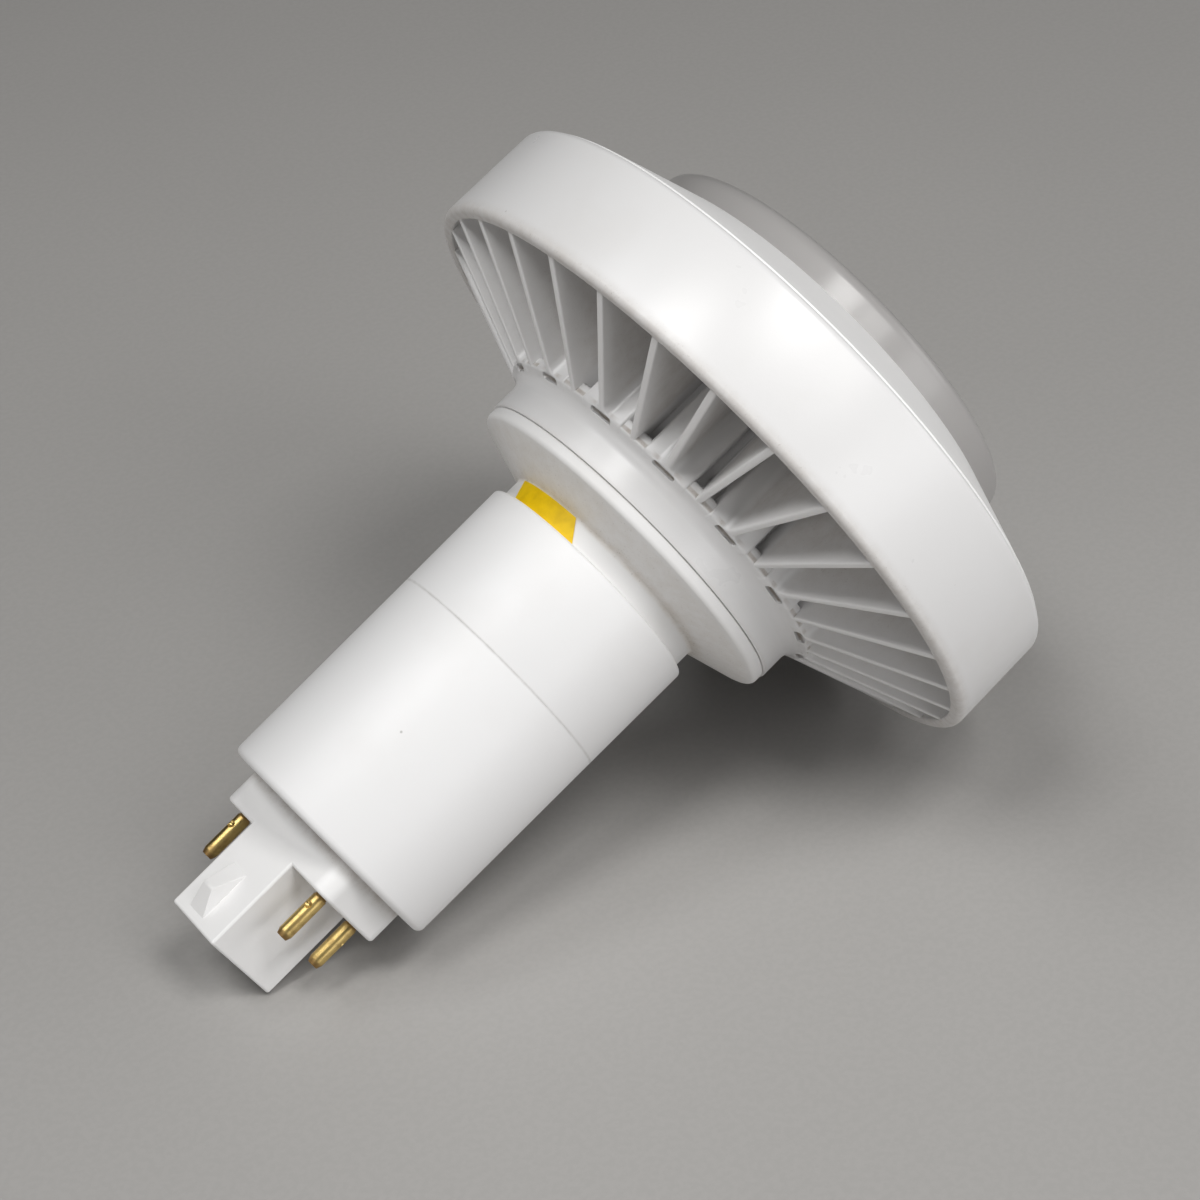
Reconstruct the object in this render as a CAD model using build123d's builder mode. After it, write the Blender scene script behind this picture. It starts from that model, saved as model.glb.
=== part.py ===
"""Four-pin plug-in LED lamp: a keyed cap with four brass pins, a round driver
housing, a rotated flange and a wide finned heat sink that carries the lens.

Every piece is drawn in the lamp's own frame first: Z runs along the lamp from
the tip of the cap's post towards the lens, X across the two pairs of pins and
Y up through the post's wide face. The last section lays the whole lamp down
as it rests on a table, on the post's lower edge and the ring's rear edge.
Lengths are in millimetres.
"""

import math
import os

from build123d import *

os.makedirs("parts", exist_ok=True)

# Driving sizes of the cap
POST_WIDTH = 11.8
POST_DEPTH = 16.6
POST_LENGTH = 16.1
POST_EDGE_RADIUS = 0.5
CAP_WALL = 1.6
SHOULDER_WIDTH = 28.9
SHOULDER_HEIGHT = 5.8
SHOULDER_CORNER_RADIUS = 2.9
SHOULDER_FLOOR = 2.4
COLLAR_WIDTH = 27.2
COLLAR_DEPTH = 15.0
COLLAR_WALL = 0.95
COLLAR_REACH = 3.0
SNAP_LENGTH = 9.0
SNAP_HEIGHT = 0.5
WEDGE_START = 1.5
WEDGE_LENGTH = 8.9
WEDGE_WIDTH = 3.8
WEDGE_OFFSET = 0.75
WEDGE_HEIGHT = 2.3
WEDGE_CREST = 4.1
WEDGE_CREST_WIDTH = 2.5
WEDGE_CREST_LENGTH = 0.4
WITNESS_WIDTH = 0.3
WITNESS_DEPTH = 0.15

# Driving sizes of the pins
PIN_DIAMETER = 2.34
PIN_LENGTH = 8.2
PIN_TIP_RADIUS = 0.8
PIN_ROOT_DIAMETER = 2.0
PIN_NECK = 0.4
PIN_DIMPLE_MARGIN = 0.15
PIN_DIMPLE_DEPTH = 0.3
PIN_HEAD_DIAMETER = 2.9
PIN_HEAD_HEIGHT = 0.8
PIN_TAIL = 1.4
PIN_SPACING_X = 22.2
PIN_SPACING_Y = 9.1

# Driving sizes of the driver housing
HOUSING_BOTTOM_RADIUS = 19.3
HOUSING_SEAM_RADIUS = 19.5
HOUSING_TOP_RADIUS = 19.65
LOWER_LENGTH = 36.1
UPPER_LENGTH = 19.2
HOUSING_WALL = 1.25
HOUSING_FLOOR = 1.6
HOUSING_EDGE_RADIUS = 1.2
HOUSING_TOP_EDGE_RADIUS = 0.6
LAP_LENGTH = 4.0
LAP_WALL = 1.1
NECK_SHELF = 4.0

# Driving sizes of the neck and its flange
NECK_RADIUS = 18.3
NECK_WALL = 1.6
NECK_SHOWS = 3.5
FLANGE_RADIUS = 28.5
FLANGE_CONE_RISE = 3.2
FLANGE_RIM_HEIGHT = 2.0
FLANGE_RIM_RADIUS = 0.9
FLANGE_PLATE = 2.5
WIRE_HOLE_RADIUS = 5.0

# Driving sizes of the heat sink
HUB_RADIUS = 28.75
HUB_WALL = 2.5
HUB_LENGTH = 28.6
HUB_EDGE = 0.4
HUB_SHOWS = 5.5
PLATE_THICKNESS = 3.0
RING_RADIUS = 54.75
RING_TAPER = 0.2
RING_WALL = 2.0
RING_WIDTH = 17.5
RING_REAR = 14.6
RING_REAR_EDGE_RADIUS = 0.8
RING_FRONT_EDGE_RADIUS = 0.9
FIN_COUNT = 30
FIN_PHASE = 6.0
FIN_EDGE = 1.1
FIN_DRAFT = 0.6
SHELF_THICKNESS = 1.6
SHELF_ROOT_RADIUS = 1.5
ROOT_COUNT = 15
SHELF_REACH = 2.45
ROOT_WIDTH = 8.4
ROOT_CORNER_RADIUS = 0.9
POCKET_WIDTH = 4.3
POCKET_HEIGHT = 0.5
POCKET_DEPTH = 1.1
SCREW_POST_OFFSET = 12.5
SCREW_POST_RADIUS = 3.0
BOARD_SCREW_OFFSET = 24.5
BOARD_BOSS_LENGTH = 9.0
SCREW_COUNT = 3
PLATE_WIRE_HOLE_RADIUS = 3.0

# Driving sizes of the front
BEZEL_RISE = 7.5
BEZEL_WALL = 1.8
BEZEL_LIP = 1.0
BEZEL_LIP_EDGE = 0.3
LENS_RADIUS = 34.9
LENS_WALL = 1.8
LENS_SHOWS = 5.4
LENS_EDGE_RADIUS = 2.2
LENS_DOME = 1.7
LENS_FLANGE_WIDTH = 3.1
LENS_FLANGE_HEIGHT = 1.6
SEAL_HEIGHT = 0.8
SEAL_INSET = 0.3

# Driving sizes of the light board
BOARD_THICKNESS = 1.6
PAD_THICKNESS = 0.3
CHIP_WIDTH = 2.8
CHIP_LENGTH = 3.5
CHIP_HEIGHT = 0.7
INNER_CHIP_OFFSET = 9.0
INNER_CHIP_COUNT = 6
OUTER_CHIP_OFFSET = 17.5
OUTER_CHIP_COUNT = 12
CONNECTOR_WIDTH = 5.5
CONNECTOR_LENGTH = 4.4
CONNECTOR_HEIGHT = 3.6
CONNECTOR_CENTRE = 13.2

# Driving sizes of the screws
SCREW_DIAMETER = 2.5
SCREW_HEAD_DIAMETER = 5.5
SCREW_HEAD_HEIGHT = 1.8
SCREW_SLOT = 0.8
SCREW_REACH = 8.0
SCREW_HOLE_DIAMETER = 3.4

# Driving sizes of the driver
DRIVER_WIDTH = 31.0
DRIVER_THICKNESS = 1.6
DRIVER_DROP = 5.0
DRIVER_MARGIN = 1.5
RAIL_WIDTH = 1.2
RAIL_LAP = 1.2
CAPACITOR_DIAMETER = 10.0
CAPACITOR_LENGTH = 14.0
CAPACITOR_SPACING = 11.4
CAPACITOR_GROOVE = 0.4
TRANSFORMER_WIDTH = 15.0
TRANSFORMER_LENGTH = 10.6
TRANSFORMER_HEIGHT = 12.0
TRANSFORMER_LEG = 3.6
FILM_WIDTH = 13.0
FILM_LENGTH = 4.6
FILM_HEIGHT = 8.5
INDUCTOR_DIAMETER = 7.0
INDUCTOR_HEIGHT = 8.0
INDUCTOR_WAIST = 2.4
INDUCTOR_RIM = 1.2
INDUCTOR_OFFSET = 8.6
RECTIFIER_WIDTH = 6.4
RECTIFIER_LENGTH = 4.6
RECTIFIER_HEIGHT = 2.4
RECTIFIER_START = 12.0
WIRE_DIAMETER = 1.3
WIRE_BEND = 2.2

# Driving sizes of the label
LABEL_ANGLE = 50.0
LABEL_CENTRE = 88.0
LABEL_THICKNESS = 0.1
LABEL_TUCK = 4.0
LABEL_GAP = 0.3

# Clearances
SLIDE_GAP = 0.2
LAP_GAP = 0.1
PIN_GAP = 0.02
SCREW_GAP = 0.02
BOARD_GAP = 0.1
BOARD_EDGE_GAP = 2.1
PART_GAP = 0.6
SEAT_GAP = 0.05
PICK_GAP = 0.01

# Heights along the lamp
SHOULDER_Z = POST_LENGTH
PIN_NECK_Z = SHOULDER_Z - PIN_NECK
PIN_TAIL_Z = SHOULDER_Z + SHOULDER_FLOOR + PIN_HEAD_HEIGHT + PIN_TAIL
HOUSING_Z = SHOULDER_Z + SHOULDER_HEIGHT
COLLAR_TOP_Z = HOUSING_Z + HOUSING_FLOOR + COLLAR_REACH
SEAM_Z = HOUSING_Z + LOWER_LENGTH
HOUSING_TOP_Z = SEAM_Z + UPPER_LENGTH
NECK_BOTTOM_Z = SEAM_Z + NECK_SHELF
FLANGE_Z = HOUSING_TOP_Z + NECK_SHOWS
HUB_Z = FLANGE_Z + FLANGE_CONE_RISE + FLANGE_RIM_HEIGHT
FIN_ROOT_Z = HUB_Z + HUB_SHOWS
RING_Z = HUB_Z + RING_REAR
PLATE_Z = HUB_Z + HUB_LENGTH
PLATE_BACK_Z = PLATE_Z - PLATE_THICKNESS
RING_FRONT_Z = RING_Z + RING_WIDTH
BEZEL_Z = RING_FRONT_Z + BEZEL_RISE
SEAL_Z = PLATE_Z
LENS_Z = SEAL_Z + SEAL_HEIGHT
LENS_FLANGE_Z = LENS_Z + LENS_FLANGE_HEIGHT
LENS_RIM_Z = BEZEL_Z + LENS_SHOWS
PAD_Z = PLATE_Z
BOARD_Z = PAD_Z + PAD_THICKNESS
BOARD_TOP_Z = BOARD_Z + BOARD_THICKNESS
DRIVER_Z = COLLAR_TOP_Z

# Radii that follow from the driving sizes
PIN_RADIUS = PIN_DIAMETER / 2
PIN_ROOT_RADIUS = PIN_ROOT_DIAMETER / 2
LOWER_BORE = HOUSING_BOTTOM_RADIUS - HOUSING_WALL
LOWER_TOP_BORE = HOUSING_SEAM_RADIUS - HOUSING_WALL
LAP_RADIUS = LOWER_TOP_BORE - LAP_GAP
LAP_BORE = LAP_RADIUS - LAP_WALL
UPPER_BORE = NECK_RADIUS + SLIDE_GAP
NECK_BORE = NECK_RADIUS - NECK_WALL
HUB_BORE = HUB_RADIUS - HUB_WALL
RING_FRONT_RADIUS = RING_RADIUS - RING_TAPER
RING_BORE = RING_FRONT_RADIUS - RING_WALL
SCREW_RADIUS = SCREW_DIAMETER / 2
PILOT_RADIUS = SCREW_RADIUS + SCREW_GAP
SCREW_HOLE_RADIUS = SCREW_HOLE_DIAMETER / 2
WIRE_RADIUS = WIRE_DIAMETER / 2
FIN_DEPTH = PLATE_BACK_Z - FIN_ROOT_Z
FIN_THICKNESS = FIN_EDGE + 2 * FIN_DEPTH * math.tan(math.radians(FIN_DRAFT))
FIN_INNER = HUB_RADIUS - HUB_WALL / 2
ROOT_RADIUS = HUB_RADIUS + SHELF_REACH
FIN_OUTER = RING_BORE + RING_WALL / 2
FIN_LENGTH = FIN_OUTER - FIN_INNER
FIN_SLOPE = (RING_Z - FIN_ROOT_Z) / (RING_BORE - HUB_RADIUS)
ROOT_RISE = FIN_SLOPE * (ROOT_RADIUS - HUB_RADIUS)
BEZEL_BORE = LENS_RADIUS + SLIDE_GAP
BEZEL_TUBE_RADIUS = BEZEL_BORE + BEZEL_WALL
BEZEL_SPIGOT = RING_BORE - SLIDE_GAP
LENS_FLANGE_RADIUS = LENS_RADIUS + LENS_FLANGE_WIDTH
BOARD_RADIUS = LENS_RADIUS - LENS_WALL - BOARD_EDGE_GAP
DRIVER_TOP = -DRIVER_DROP + DRIVER_THICKNESS / 2
DRIVER_BOTTOM = -DRIVER_DROP - DRIVER_THICKNESS / 2

# The driver's parts stand one after another along its board
CAPACITOR_START = DRIVER_MARGIN + FILM_LENGTH + PART_GAP
TRANSFORMER_START = CAPACITOR_START + CAPACITOR_LENGTH + PART_GAP
INDUCTOR_CENTRE = TRANSFORMER_START + TRANSFORMER_LENGTH + PART_GAP + INDUCTOR_DIAMETER / 2
DRIVER_LENGTH = INDUCTOR_CENTRE + INDUCTOR_DIAMETER / 2 + PART_GAP


def spun(*points):
    """Draw a closed profile of (radius, height) points on the plane through the lamp's axis."""
    with BuildSketch(Plane.XZ) as profile:
        with BuildLine():
            Polyline(*points, close=True)
        make_face()
    return profile.sketch


def circle_edges(piece, height, radius):
    """Pick the round edge of a turned piece at one height and radius."""
    circles = piece.edges().filter_by(GeomType.CIRCLE)
    level = circles.filter_by_position(Axis.Z, height - PICK_GAP, height + PICK_GAP)
    return [edge for edge in level if abs(edge.radius - radius) < PICK_GAP]


def post_face(side, height):
    """Give the plane that lies a height above one wide face of the post, with its Y along the lamp."""
    return Plane(origin=(0, side * (POST_DEPTH / 2 + height), 0), x_dir=(-side, 0, 0), z_dir=(0, side, 0))


# Cap: post, shoulders and the collar that snaps into the housing
with BuildPart() as cap_body:
    with BuildSketch():
        Rectangle(POST_WIDTH, POST_DEPTH)
    extrude(amount=HOUSING_Z)
    fillet(cap_body.edges().filter_by(Axis.Z), radius=POST_EDGE_RADIUS)
    fillet(cap_body.faces().sort_by(Axis.Z)[0].edges(), radius=POST_EDGE_RADIUS * 0.9)
    with BuildSketch(Plane.XY.offset(SHOULDER_Z)):
        RectangleRounded(SHOULDER_WIDTH, POST_DEPTH, SHOULDER_CORNER_RADIUS)
    extrude(amount=SHOULDER_HEIGHT)
    with BuildSketch(Plane.XY.offset(HOUSING_Z)):
        Rectangle(COLLAR_WIDTH, COLLAR_DEPTH)
    extrude(amount=COLLAR_TOP_Z - HOUSING_Z)
    with BuildSketch(Plane.XY.offset(CAP_WALL)):
        Rectangle(POST_WIDTH - 2 * CAP_WALL, POST_DEPTH - 2 * CAP_WALL)
    extrude(amount=COLLAR_TOP_Z, mode=Mode.SUBTRACT)
    with BuildSketch(Plane.XY.offset(SHOULDER_Z + SHOULDER_FLOOR)):
        Rectangle(COLLAR_WIDTH - 2 * COLLAR_WALL, COLLAR_DEPTH - 2 * COLLAR_WALL)
    extrude(amount=COLLAR_TOP_Z, mode=Mode.SUBTRACT)
    with BuildSketch(Plane.XY.offset(SHOULDER_Z)):
        with GridLocations(PIN_SPACING_X, PIN_SPACING_Y, 2, 2):
            Circle(PIN_ROOT_RADIUS + PIN_GAP)
    extrude(amount=SHOULDER_FLOOR, mode=Mode.SUBTRACT)
    with BuildSketch(Plane.XY.offset(SHOULDER_Z)):
        with GridLocations(PIN_SPACING_X, PIN_SPACING_Y, 2, 2):
            Circle(PIN_RADIUS + PIN_DIMPLE_MARGIN)
    extrude(amount=PIN_DIMPLE_DEPTH, mode=Mode.SUBTRACT)
    for side in (1, -1):
        with BuildSketch(post_face(side, 0)):
            with Locations((-WEDGE_OFFSET, WEDGE_START + WEDGE_LENGTH / 2)):
                Rectangle(WEDGE_WIDTH, WEDGE_LENGTH)
        with BuildSketch(post_face(side, WEDGE_HEIGHT)):
            with Locations((-WEDGE_OFFSET, WEDGE_START + WEDGE_CREST)):
                Rectangle(WEDGE_CREST_WIDTH, WEDGE_CREST_LENGTH)
        loft()
    with BuildSketch(Plane.XY.offset(HOUSING_Z + HOUSING_FLOOR + BOARD_GAP)):
        Rectangle(SNAP_LENGTH, COLLAR_DEPTH + 2 * SNAP_HEIGHT)
        Rectangle(SNAP_LENGTH, COLLAR_DEPTH - 2 * COLLAR_WALL, mode=Mode.SUBTRACT)
    extrude(amount=SNAP_HEIGHT * 2)
    with BuildSketch(Plane.XZ.offset(-POST_DEPTH / 2)):
        with Locations((POST_WIDTH / 2 - CAP_WALL / 2, HOUSING_Z - SHOULDER_HEIGHT / 2)):
            Rectangle(WITNESS_WIDTH, SHOULDER_HEIGHT)
    extrude(amount=WITNESS_DEPTH, mode=Mode.SUBTRACT)

# Pins: a round shank with a domed tip, a thinner root through the shoulder and a head inside
PIN_PLACES = [
    (side_x * PIN_SPACING_X / 2, side_y * PIN_SPACING_Y / 2)
    for side_x in (-1, 1)
    for side_y in (-1, 1)
]


def contact_pin(place):
    """Turn one pin and stand it at its place in the shoulder."""
    with BuildPart() as pin:
        with Locations((place[0], place[1], SHOULDER_Z - PIN_LENGTH)):
            Cylinder(PIN_RADIUS, PIN_LENGTH - PIN_NECK, align=(Align.CENTER, Align.CENTER, Align.MIN))
        fillet(pin.edges().sort_by(Axis.Z)[0], radius=PIN_TIP_RADIUS)
        with Locations((place[0], place[1], PIN_NECK_Z)):
            Cylinder(PIN_ROOT_RADIUS, PIN_TAIL_Z - PIN_NECK_Z, align=(Align.CENTER, Align.CENTER, Align.MIN))
        with Locations((place[0], place[1], SHOULDER_Z + SHOULDER_FLOOR)):
            Cylinder(PIN_HEAD_DIAMETER / 2, PIN_HEAD_HEIGHT, align=(Align.CENTER, Align.CENTER, Align.MIN))
    return pin


contact_pins = [contact_pin(place) for place in PIN_PLACES]

# Lower housing: a cup with a slotted floor for the collar and rails for the board
with BuildPart() as lower_housing:
    add(
        spun(
            (0, HOUSING_Z),
            (HOUSING_BOTTOM_RADIUS, HOUSING_Z),
            (HOUSING_SEAM_RADIUS, SEAM_Z),
            (LOWER_TOP_BORE, SEAM_Z),
            (LOWER_BORE, HOUSING_Z + HOUSING_FLOOR),
            (0, HOUSING_Z + HOUSING_FLOOR),
        )
    )
    revolve(axis=Axis.Z)
    fillet(circle_edges(lower_housing, HOUSING_Z, HOUSING_BOTTOM_RADIUS), radius=HOUSING_EDGE_RADIUS)
    with BuildSketch(Plane.XY.offset(HOUSING_Z)):
        Rectangle(COLLAR_WIDTH + 2 * BOARD_GAP, COLLAR_DEPTH + 2 * BOARD_GAP)
    extrude(amount=HOUSING_FLOOR, mode=Mode.SUBTRACT)
    with BuildSketch(Plane.XY.offset(HOUSING_Z + HOUSING_FLOOR)):
        with Locations((0, -DRIVER_DROP)):
            Rectangle(2 * LOWER_BORE, DRIVER_THICKNESS + 2 * BOARD_GAP + 2 * RAIL_WIDTH)
            Rectangle(DRIVER_WIDTH + 2 * BOARD_GAP, DRIVER_THICKNESS + 2 * BOARD_GAP, mode=Mode.SUBTRACT)
            Rectangle(DRIVER_WIDTH - 2 * RAIL_LAP, POST_DEPTH, mode=Mode.SUBTRACT)
        Circle(LOWER_BORE + HOUSING_WALL / 3, mode=Mode.INTERSECT)
    extrude(amount=LOWER_LENGTH - HOUSING_FLOOR - LAP_LENGTH - 2 * BOARD_GAP)

# Upper housing: a sleeve that laps into the lower one and takes the neck
with BuildPart() as upper_housing:
    add(
        spun(
            (LAP_BORE, SEAM_Z - LAP_LENGTH),
            (LAP_RADIUS, SEAM_Z - LAP_LENGTH),
            (LAP_RADIUS, SEAM_Z),
            (HOUSING_SEAM_RADIUS, SEAM_Z),
            (HOUSING_TOP_RADIUS, HOUSING_TOP_Z),
            (UPPER_BORE, HOUSING_TOP_Z),
            (UPPER_BORE, NECK_BOTTOM_Z),
            (LAP_BORE, NECK_BOTTOM_Z),
        )
    )
    revolve(axis=Axis.Z)
    fillet(circle_edges(upper_housing, HOUSING_TOP_Z, HOUSING_TOP_RADIUS), radius=HOUSING_TOP_EDGE_RADIUS)

# Neck and flange: a tube that opens into a shallow cone with a rounded rim
with BuildPart() as neck_flange:
    add(
        spun(
            (NECK_BORE, NECK_BOTTOM_Z),
            (NECK_RADIUS, NECK_BOTTOM_Z),
            (NECK_RADIUS, FLANGE_Z),
            (FLANGE_RADIUS, FLANGE_Z + FLANGE_CONE_RISE),
            (FLANGE_RADIUS, HUB_Z),
            (0, HUB_Z),
            (0, HUB_Z - FLANGE_PLATE),
            (NECK_BORE, HUB_Z - FLANGE_PLATE),
        )
    )
    revolve(axis=Axis.Z)
    fillet(
        circle_edges(neck_flange, FLANGE_Z + FLANGE_CONE_RISE, FLANGE_RADIUS)
        + circle_edges(neck_flange, HUB_Z, FLANGE_RADIUS),
        radius=FLANGE_RIM_RADIUS,
    )
    with BuildSketch(Plane.XY.offset(HUB_Z - FLANGE_PLATE)):
        Circle(WIRE_HOLE_RADIUS)
        with PolarLocations(SCREW_POST_OFFSET, SCREW_COUNT):
            Circle(SCREW_HOLE_RADIUS)
    extrude(amount=FLANGE_PLATE, mode=Mode.SUBTRACT)

# Heat sink: thin drafted fins from a hub to a wide ring, on a front plate. Fins, shelf and roots
# stand from one height and are trimmed by one cone, so that their rear edges lie flush
with BuildPart() as heat_sink:
    with BuildSketch(Plane.XY.offset(PLATE_BACK_Z)):
        with PolarLocations((FIN_INNER + FIN_OUTER) / 2, FIN_COUNT, start_angle=FIN_PHASE):
            Rectangle(FIN_LENGTH, FIN_THICKNESS)
    extrude(amount=-FIN_DEPTH, taper=FIN_DRAFT)
    with BuildSketch(Plane.XY.offset(FIN_ROOT_Z)):
        with PolarLocations((FIN_INNER + ROOT_RADIUS) / 2, ROOT_COUNT, start_angle=FIN_PHASE):
            RectangleRounded(ROOT_RADIUS - FIN_INNER, ROOT_WIDTH, ROOT_CORNER_RADIUS)
    extrude(amount=FIN_DEPTH)
    with BuildSketch(Plane.XY.offset(FIN_ROOT_Z)):
        Circle(ROOT_RADIUS)
        Circle(FIN_INNER, mode=Mode.SUBTRACT)
    extrude(amount=ROOT_RISE + SHELF_THICKNESS)
    add(
        spun(
            (0, HUB_Z),
            (0, FIN_ROOT_Z),
            (HUB_RADIUS, FIN_ROOT_Z),
            (FIN_OUTER + RING_WALL, FIN_ROOT_Z + FIN_SLOPE * (FIN_OUTER + RING_WALL - HUB_RADIUS)),
            (FIN_OUTER + RING_WALL, HUB_Z),
        )
    )
    revolve(axis=Axis.Z, mode=Mode.SUBTRACT)
    add(
        spun(
            (HUB_BORE, HUB_Z),
            (HUB_RADIUS - HUB_EDGE, HUB_Z),
            (HUB_RADIUS, HUB_Z + HUB_EDGE),
            (HUB_RADIUS, PLATE_BACK_Z),
            (RING_BORE, PLATE_BACK_Z),
            (RING_BORE, RING_Z),
            (RING_RADIUS, RING_Z),
            (RING_FRONT_RADIUS, RING_FRONT_Z),
            (RING_BORE, RING_FRONT_Z),
            (RING_BORE, PLATE_Z),
            (0, PLATE_Z),
            (0, PLATE_BACK_Z),
            (HUB_BORE, PLATE_BACK_Z),
        )
    )
    revolve(axis=Axis.Z)
    fillet(circle_edges(heat_sink, FIN_ROOT_Z, HUB_RADIUS), radius=SHELF_ROOT_RADIUS)
    fillet(circle_edges(heat_sink, RING_Z, RING_RADIUS), radius=RING_REAR_EDGE_RADIUS)
    fillet(circle_edges(heat_sink, RING_FRONT_Z, RING_FRONT_RADIUS), radius=RING_FRONT_EDGE_RADIUS)
    with BuildSketch(Plane.XY.offset(FIN_ROOT_Z)):
        with PolarLocations(ROOT_RADIUS - POCKET_DEPTH / 2, ROOT_COUNT, start_angle=FIN_PHASE):
            Rectangle(POCKET_DEPTH, POCKET_WIDTH)
    extrude(amount=ROOT_RISE + POCKET_HEIGHT, mode=Mode.SUBTRACT)
    with BuildSketch(Plane.XY.offset(PLATE_BACK_Z)):
        with PolarLocations(SCREW_POST_OFFSET, SCREW_COUNT):
            Circle(SCREW_POST_RADIUS)
    extrude(amount=HUB_Z - PLATE_BACK_Z)
    with BuildSketch(Plane.XY.offset(PLATE_BACK_Z)):
        with PolarLocations(BOARD_SCREW_OFFSET, SCREW_COUNT):
            Circle(SCREW_POST_RADIUS)
    extrude(amount=-BOARD_BOSS_LENGTH)
    with BuildSketch(Plane.XY.offset(HUB_Z)):
        with PolarLocations(SCREW_POST_OFFSET, SCREW_COUNT):
            Circle(PILOT_RADIUS)
    extrude(amount=SCREW_REACH, mode=Mode.SUBTRACT)
    with BuildSketch(Plane.XY.offset(PLATE_Z)):
        with PolarLocations(BOARD_SCREW_OFFSET, SCREW_COUNT):
            Circle(PILOT_RADIUS)
    extrude(amount=-SCREW_REACH, mode=Mode.SUBTRACT)
    with BuildSketch(Plane.XY.offset(PLATE_Z)):
        Circle(PLATE_WIRE_HOLE_RADIUS)
    extrude(amount=-PLATE_THICKNESS, mode=Mode.SUBTRACT)

# Bezel: the coned front with a spigot in the ring and a tube that holds the lens down
with BuildPart() as front_bezel:
    cone_drop = BEZEL_WALL / math.cos(math.atan2(BEZEL_RISE, BEZEL_SPIGOT - BEZEL_TUBE_RADIUS))
    add(
        spun(
            (BEZEL_BORE, LENS_FLANGE_Z + SEAT_GAP),
            (BEZEL_TUBE_RADIUS, LENS_FLANGE_Z + SEAT_GAP),
            (BEZEL_TUBE_RADIUS, BEZEL_Z - cone_drop),
            (BEZEL_SPIGOT - BEZEL_WALL, RING_FRONT_Z - BEZEL_WALL),
            (BEZEL_SPIGOT - BEZEL_WALL, PLATE_Z + SEAT_GAP),
            (BEZEL_SPIGOT, PLATE_Z + SEAT_GAP),
            (BEZEL_SPIGOT, RING_FRONT_Z + SEAT_GAP),
            (BEZEL_SPIGOT + BEZEL_LIP, RING_FRONT_Z + SEAT_GAP),
            (BEZEL_SPIGOT + BEZEL_LIP, RING_FRONT_Z + SEAT_GAP + BEZEL_LIP_EDGE),
            (BEZEL_TUBE_RADIUS, BEZEL_Z),
            (BEZEL_BORE, BEZEL_Z),
        )
    )
    revolve(axis=Axis.Z)

# Lens: a shallow clear cup with a domed front and a flange under the bezel
with BuildPart() as lens:
    add(
        spun(
            (LENS_RADIUS - LENS_WALL, LENS_Z),
            (LENS_FLANGE_RADIUS, LENS_Z),
            (LENS_FLANGE_RADIUS, LENS_FLANGE_Z),
            (LENS_RADIUS, LENS_FLANGE_Z),
            (LENS_RADIUS, LENS_RIM_Z),
            (0, LENS_RIM_Z),
            (0, LENS_RIM_Z - LENS_WALL),
            (LENS_RADIUS - LENS_WALL, LENS_RIM_Z - LENS_WALL),
        )
    )
    revolve(axis=Axis.Z)
    with BuildSketch(Plane.XZ):
        with BuildLine():
            ThreePointArc(
                (-LENS_RADIUS, LENS_RIM_Z),
                (0, LENS_RIM_Z + LENS_DOME),
                (LENS_RADIUS, LENS_RIM_Z),
            )
            Line((LENS_RADIUS, LENS_RIM_Z), (-LENS_RADIUS, LENS_RIM_Z))
        make_face()
        Rectangle(LENS_RADIUS, LENS_RIM_Z * 3, align=(Align.MAX, Align.CENTER), mode=Mode.SUBTRACT)
    revolve(axis=Axis.Z)
    fillet(circle_edges(lens, LENS_RIM_Z, LENS_RADIUS), radius=LENS_EDGE_RADIUS)

# Seal: a flat ring under the lens flange
with BuildPart() as lens_seal:
    with BuildSketch(Plane.XY.offset(SEAL_Z)):
        Circle(LENS_FLANGE_RADIUS - SEAL_INSET)
        Circle(LENS_RADIUS - LENS_WALL + SEAL_INSET, mode=Mode.SUBTRACT)
    extrude(amount=SEAL_HEIGHT)

# Thermal pad and light board, with holes for the screws and the wires
with BuildPart() as thermal_pad:
    with BuildSketch(Plane.XY.offset(PAD_Z)):
        Circle(BOARD_RADIUS)
        Circle(PLATE_WIRE_HOLE_RADIUS + BOARD_GAP, mode=Mode.SUBTRACT)
        with PolarLocations(BOARD_SCREW_OFFSET, SCREW_COUNT):
            Circle(SCREW_HOLE_RADIUS, mode=Mode.SUBTRACT)
    extrude(amount=PAD_THICKNESS)

with BuildPart() as led_board:
    with BuildSketch(Plane.XY.offset(BOARD_Z)):
        Circle(BOARD_RADIUS)
        Circle(PLATE_WIRE_HOLE_RADIUS, mode=Mode.SUBTRACT)
        with PolarLocations(BOARD_SCREW_OFFSET, SCREW_COUNT):
            Circle(SCREW_HOLE_RADIUS, mode=Mode.SUBTRACT)
    extrude(amount=BOARD_THICKNESS)

with BuildPart() as led_chips:
    with BuildSketch(Plane.XY.offset(BOARD_TOP_Z)):
        with PolarLocations(INNER_CHIP_OFFSET, INNER_CHIP_COUNT):
            Rectangle(CHIP_LENGTH, CHIP_WIDTH)
        with PolarLocations(OUTER_CHIP_OFFSET, OUTER_CHIP_COUNT, start_angle=180 / OUTER_CHIP_COUNT):
            Rectangle(CHIP_LENGTH, CHIP_WIDTH)
    extrude(amount=CHIP_HEIGHT)

with BuildPart() as wire_connector:
    with BuildSketch(Plane.XY.offset(BOARD_TOP_Z)):
        with Locations((0, -CONNECTOR_CENTRE)):
            Rectangle(CONNECTOR_WIDTH, CONNECTOR_LENGTH)
    extrude(amount=CONNECTOR_HEIGHT)
    chamfer(wire_connector.faces().sort_by(Axis.Z)[-1].edges().sort_by(Axis.Y)[0], length=SCREW_SLOT)


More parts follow.
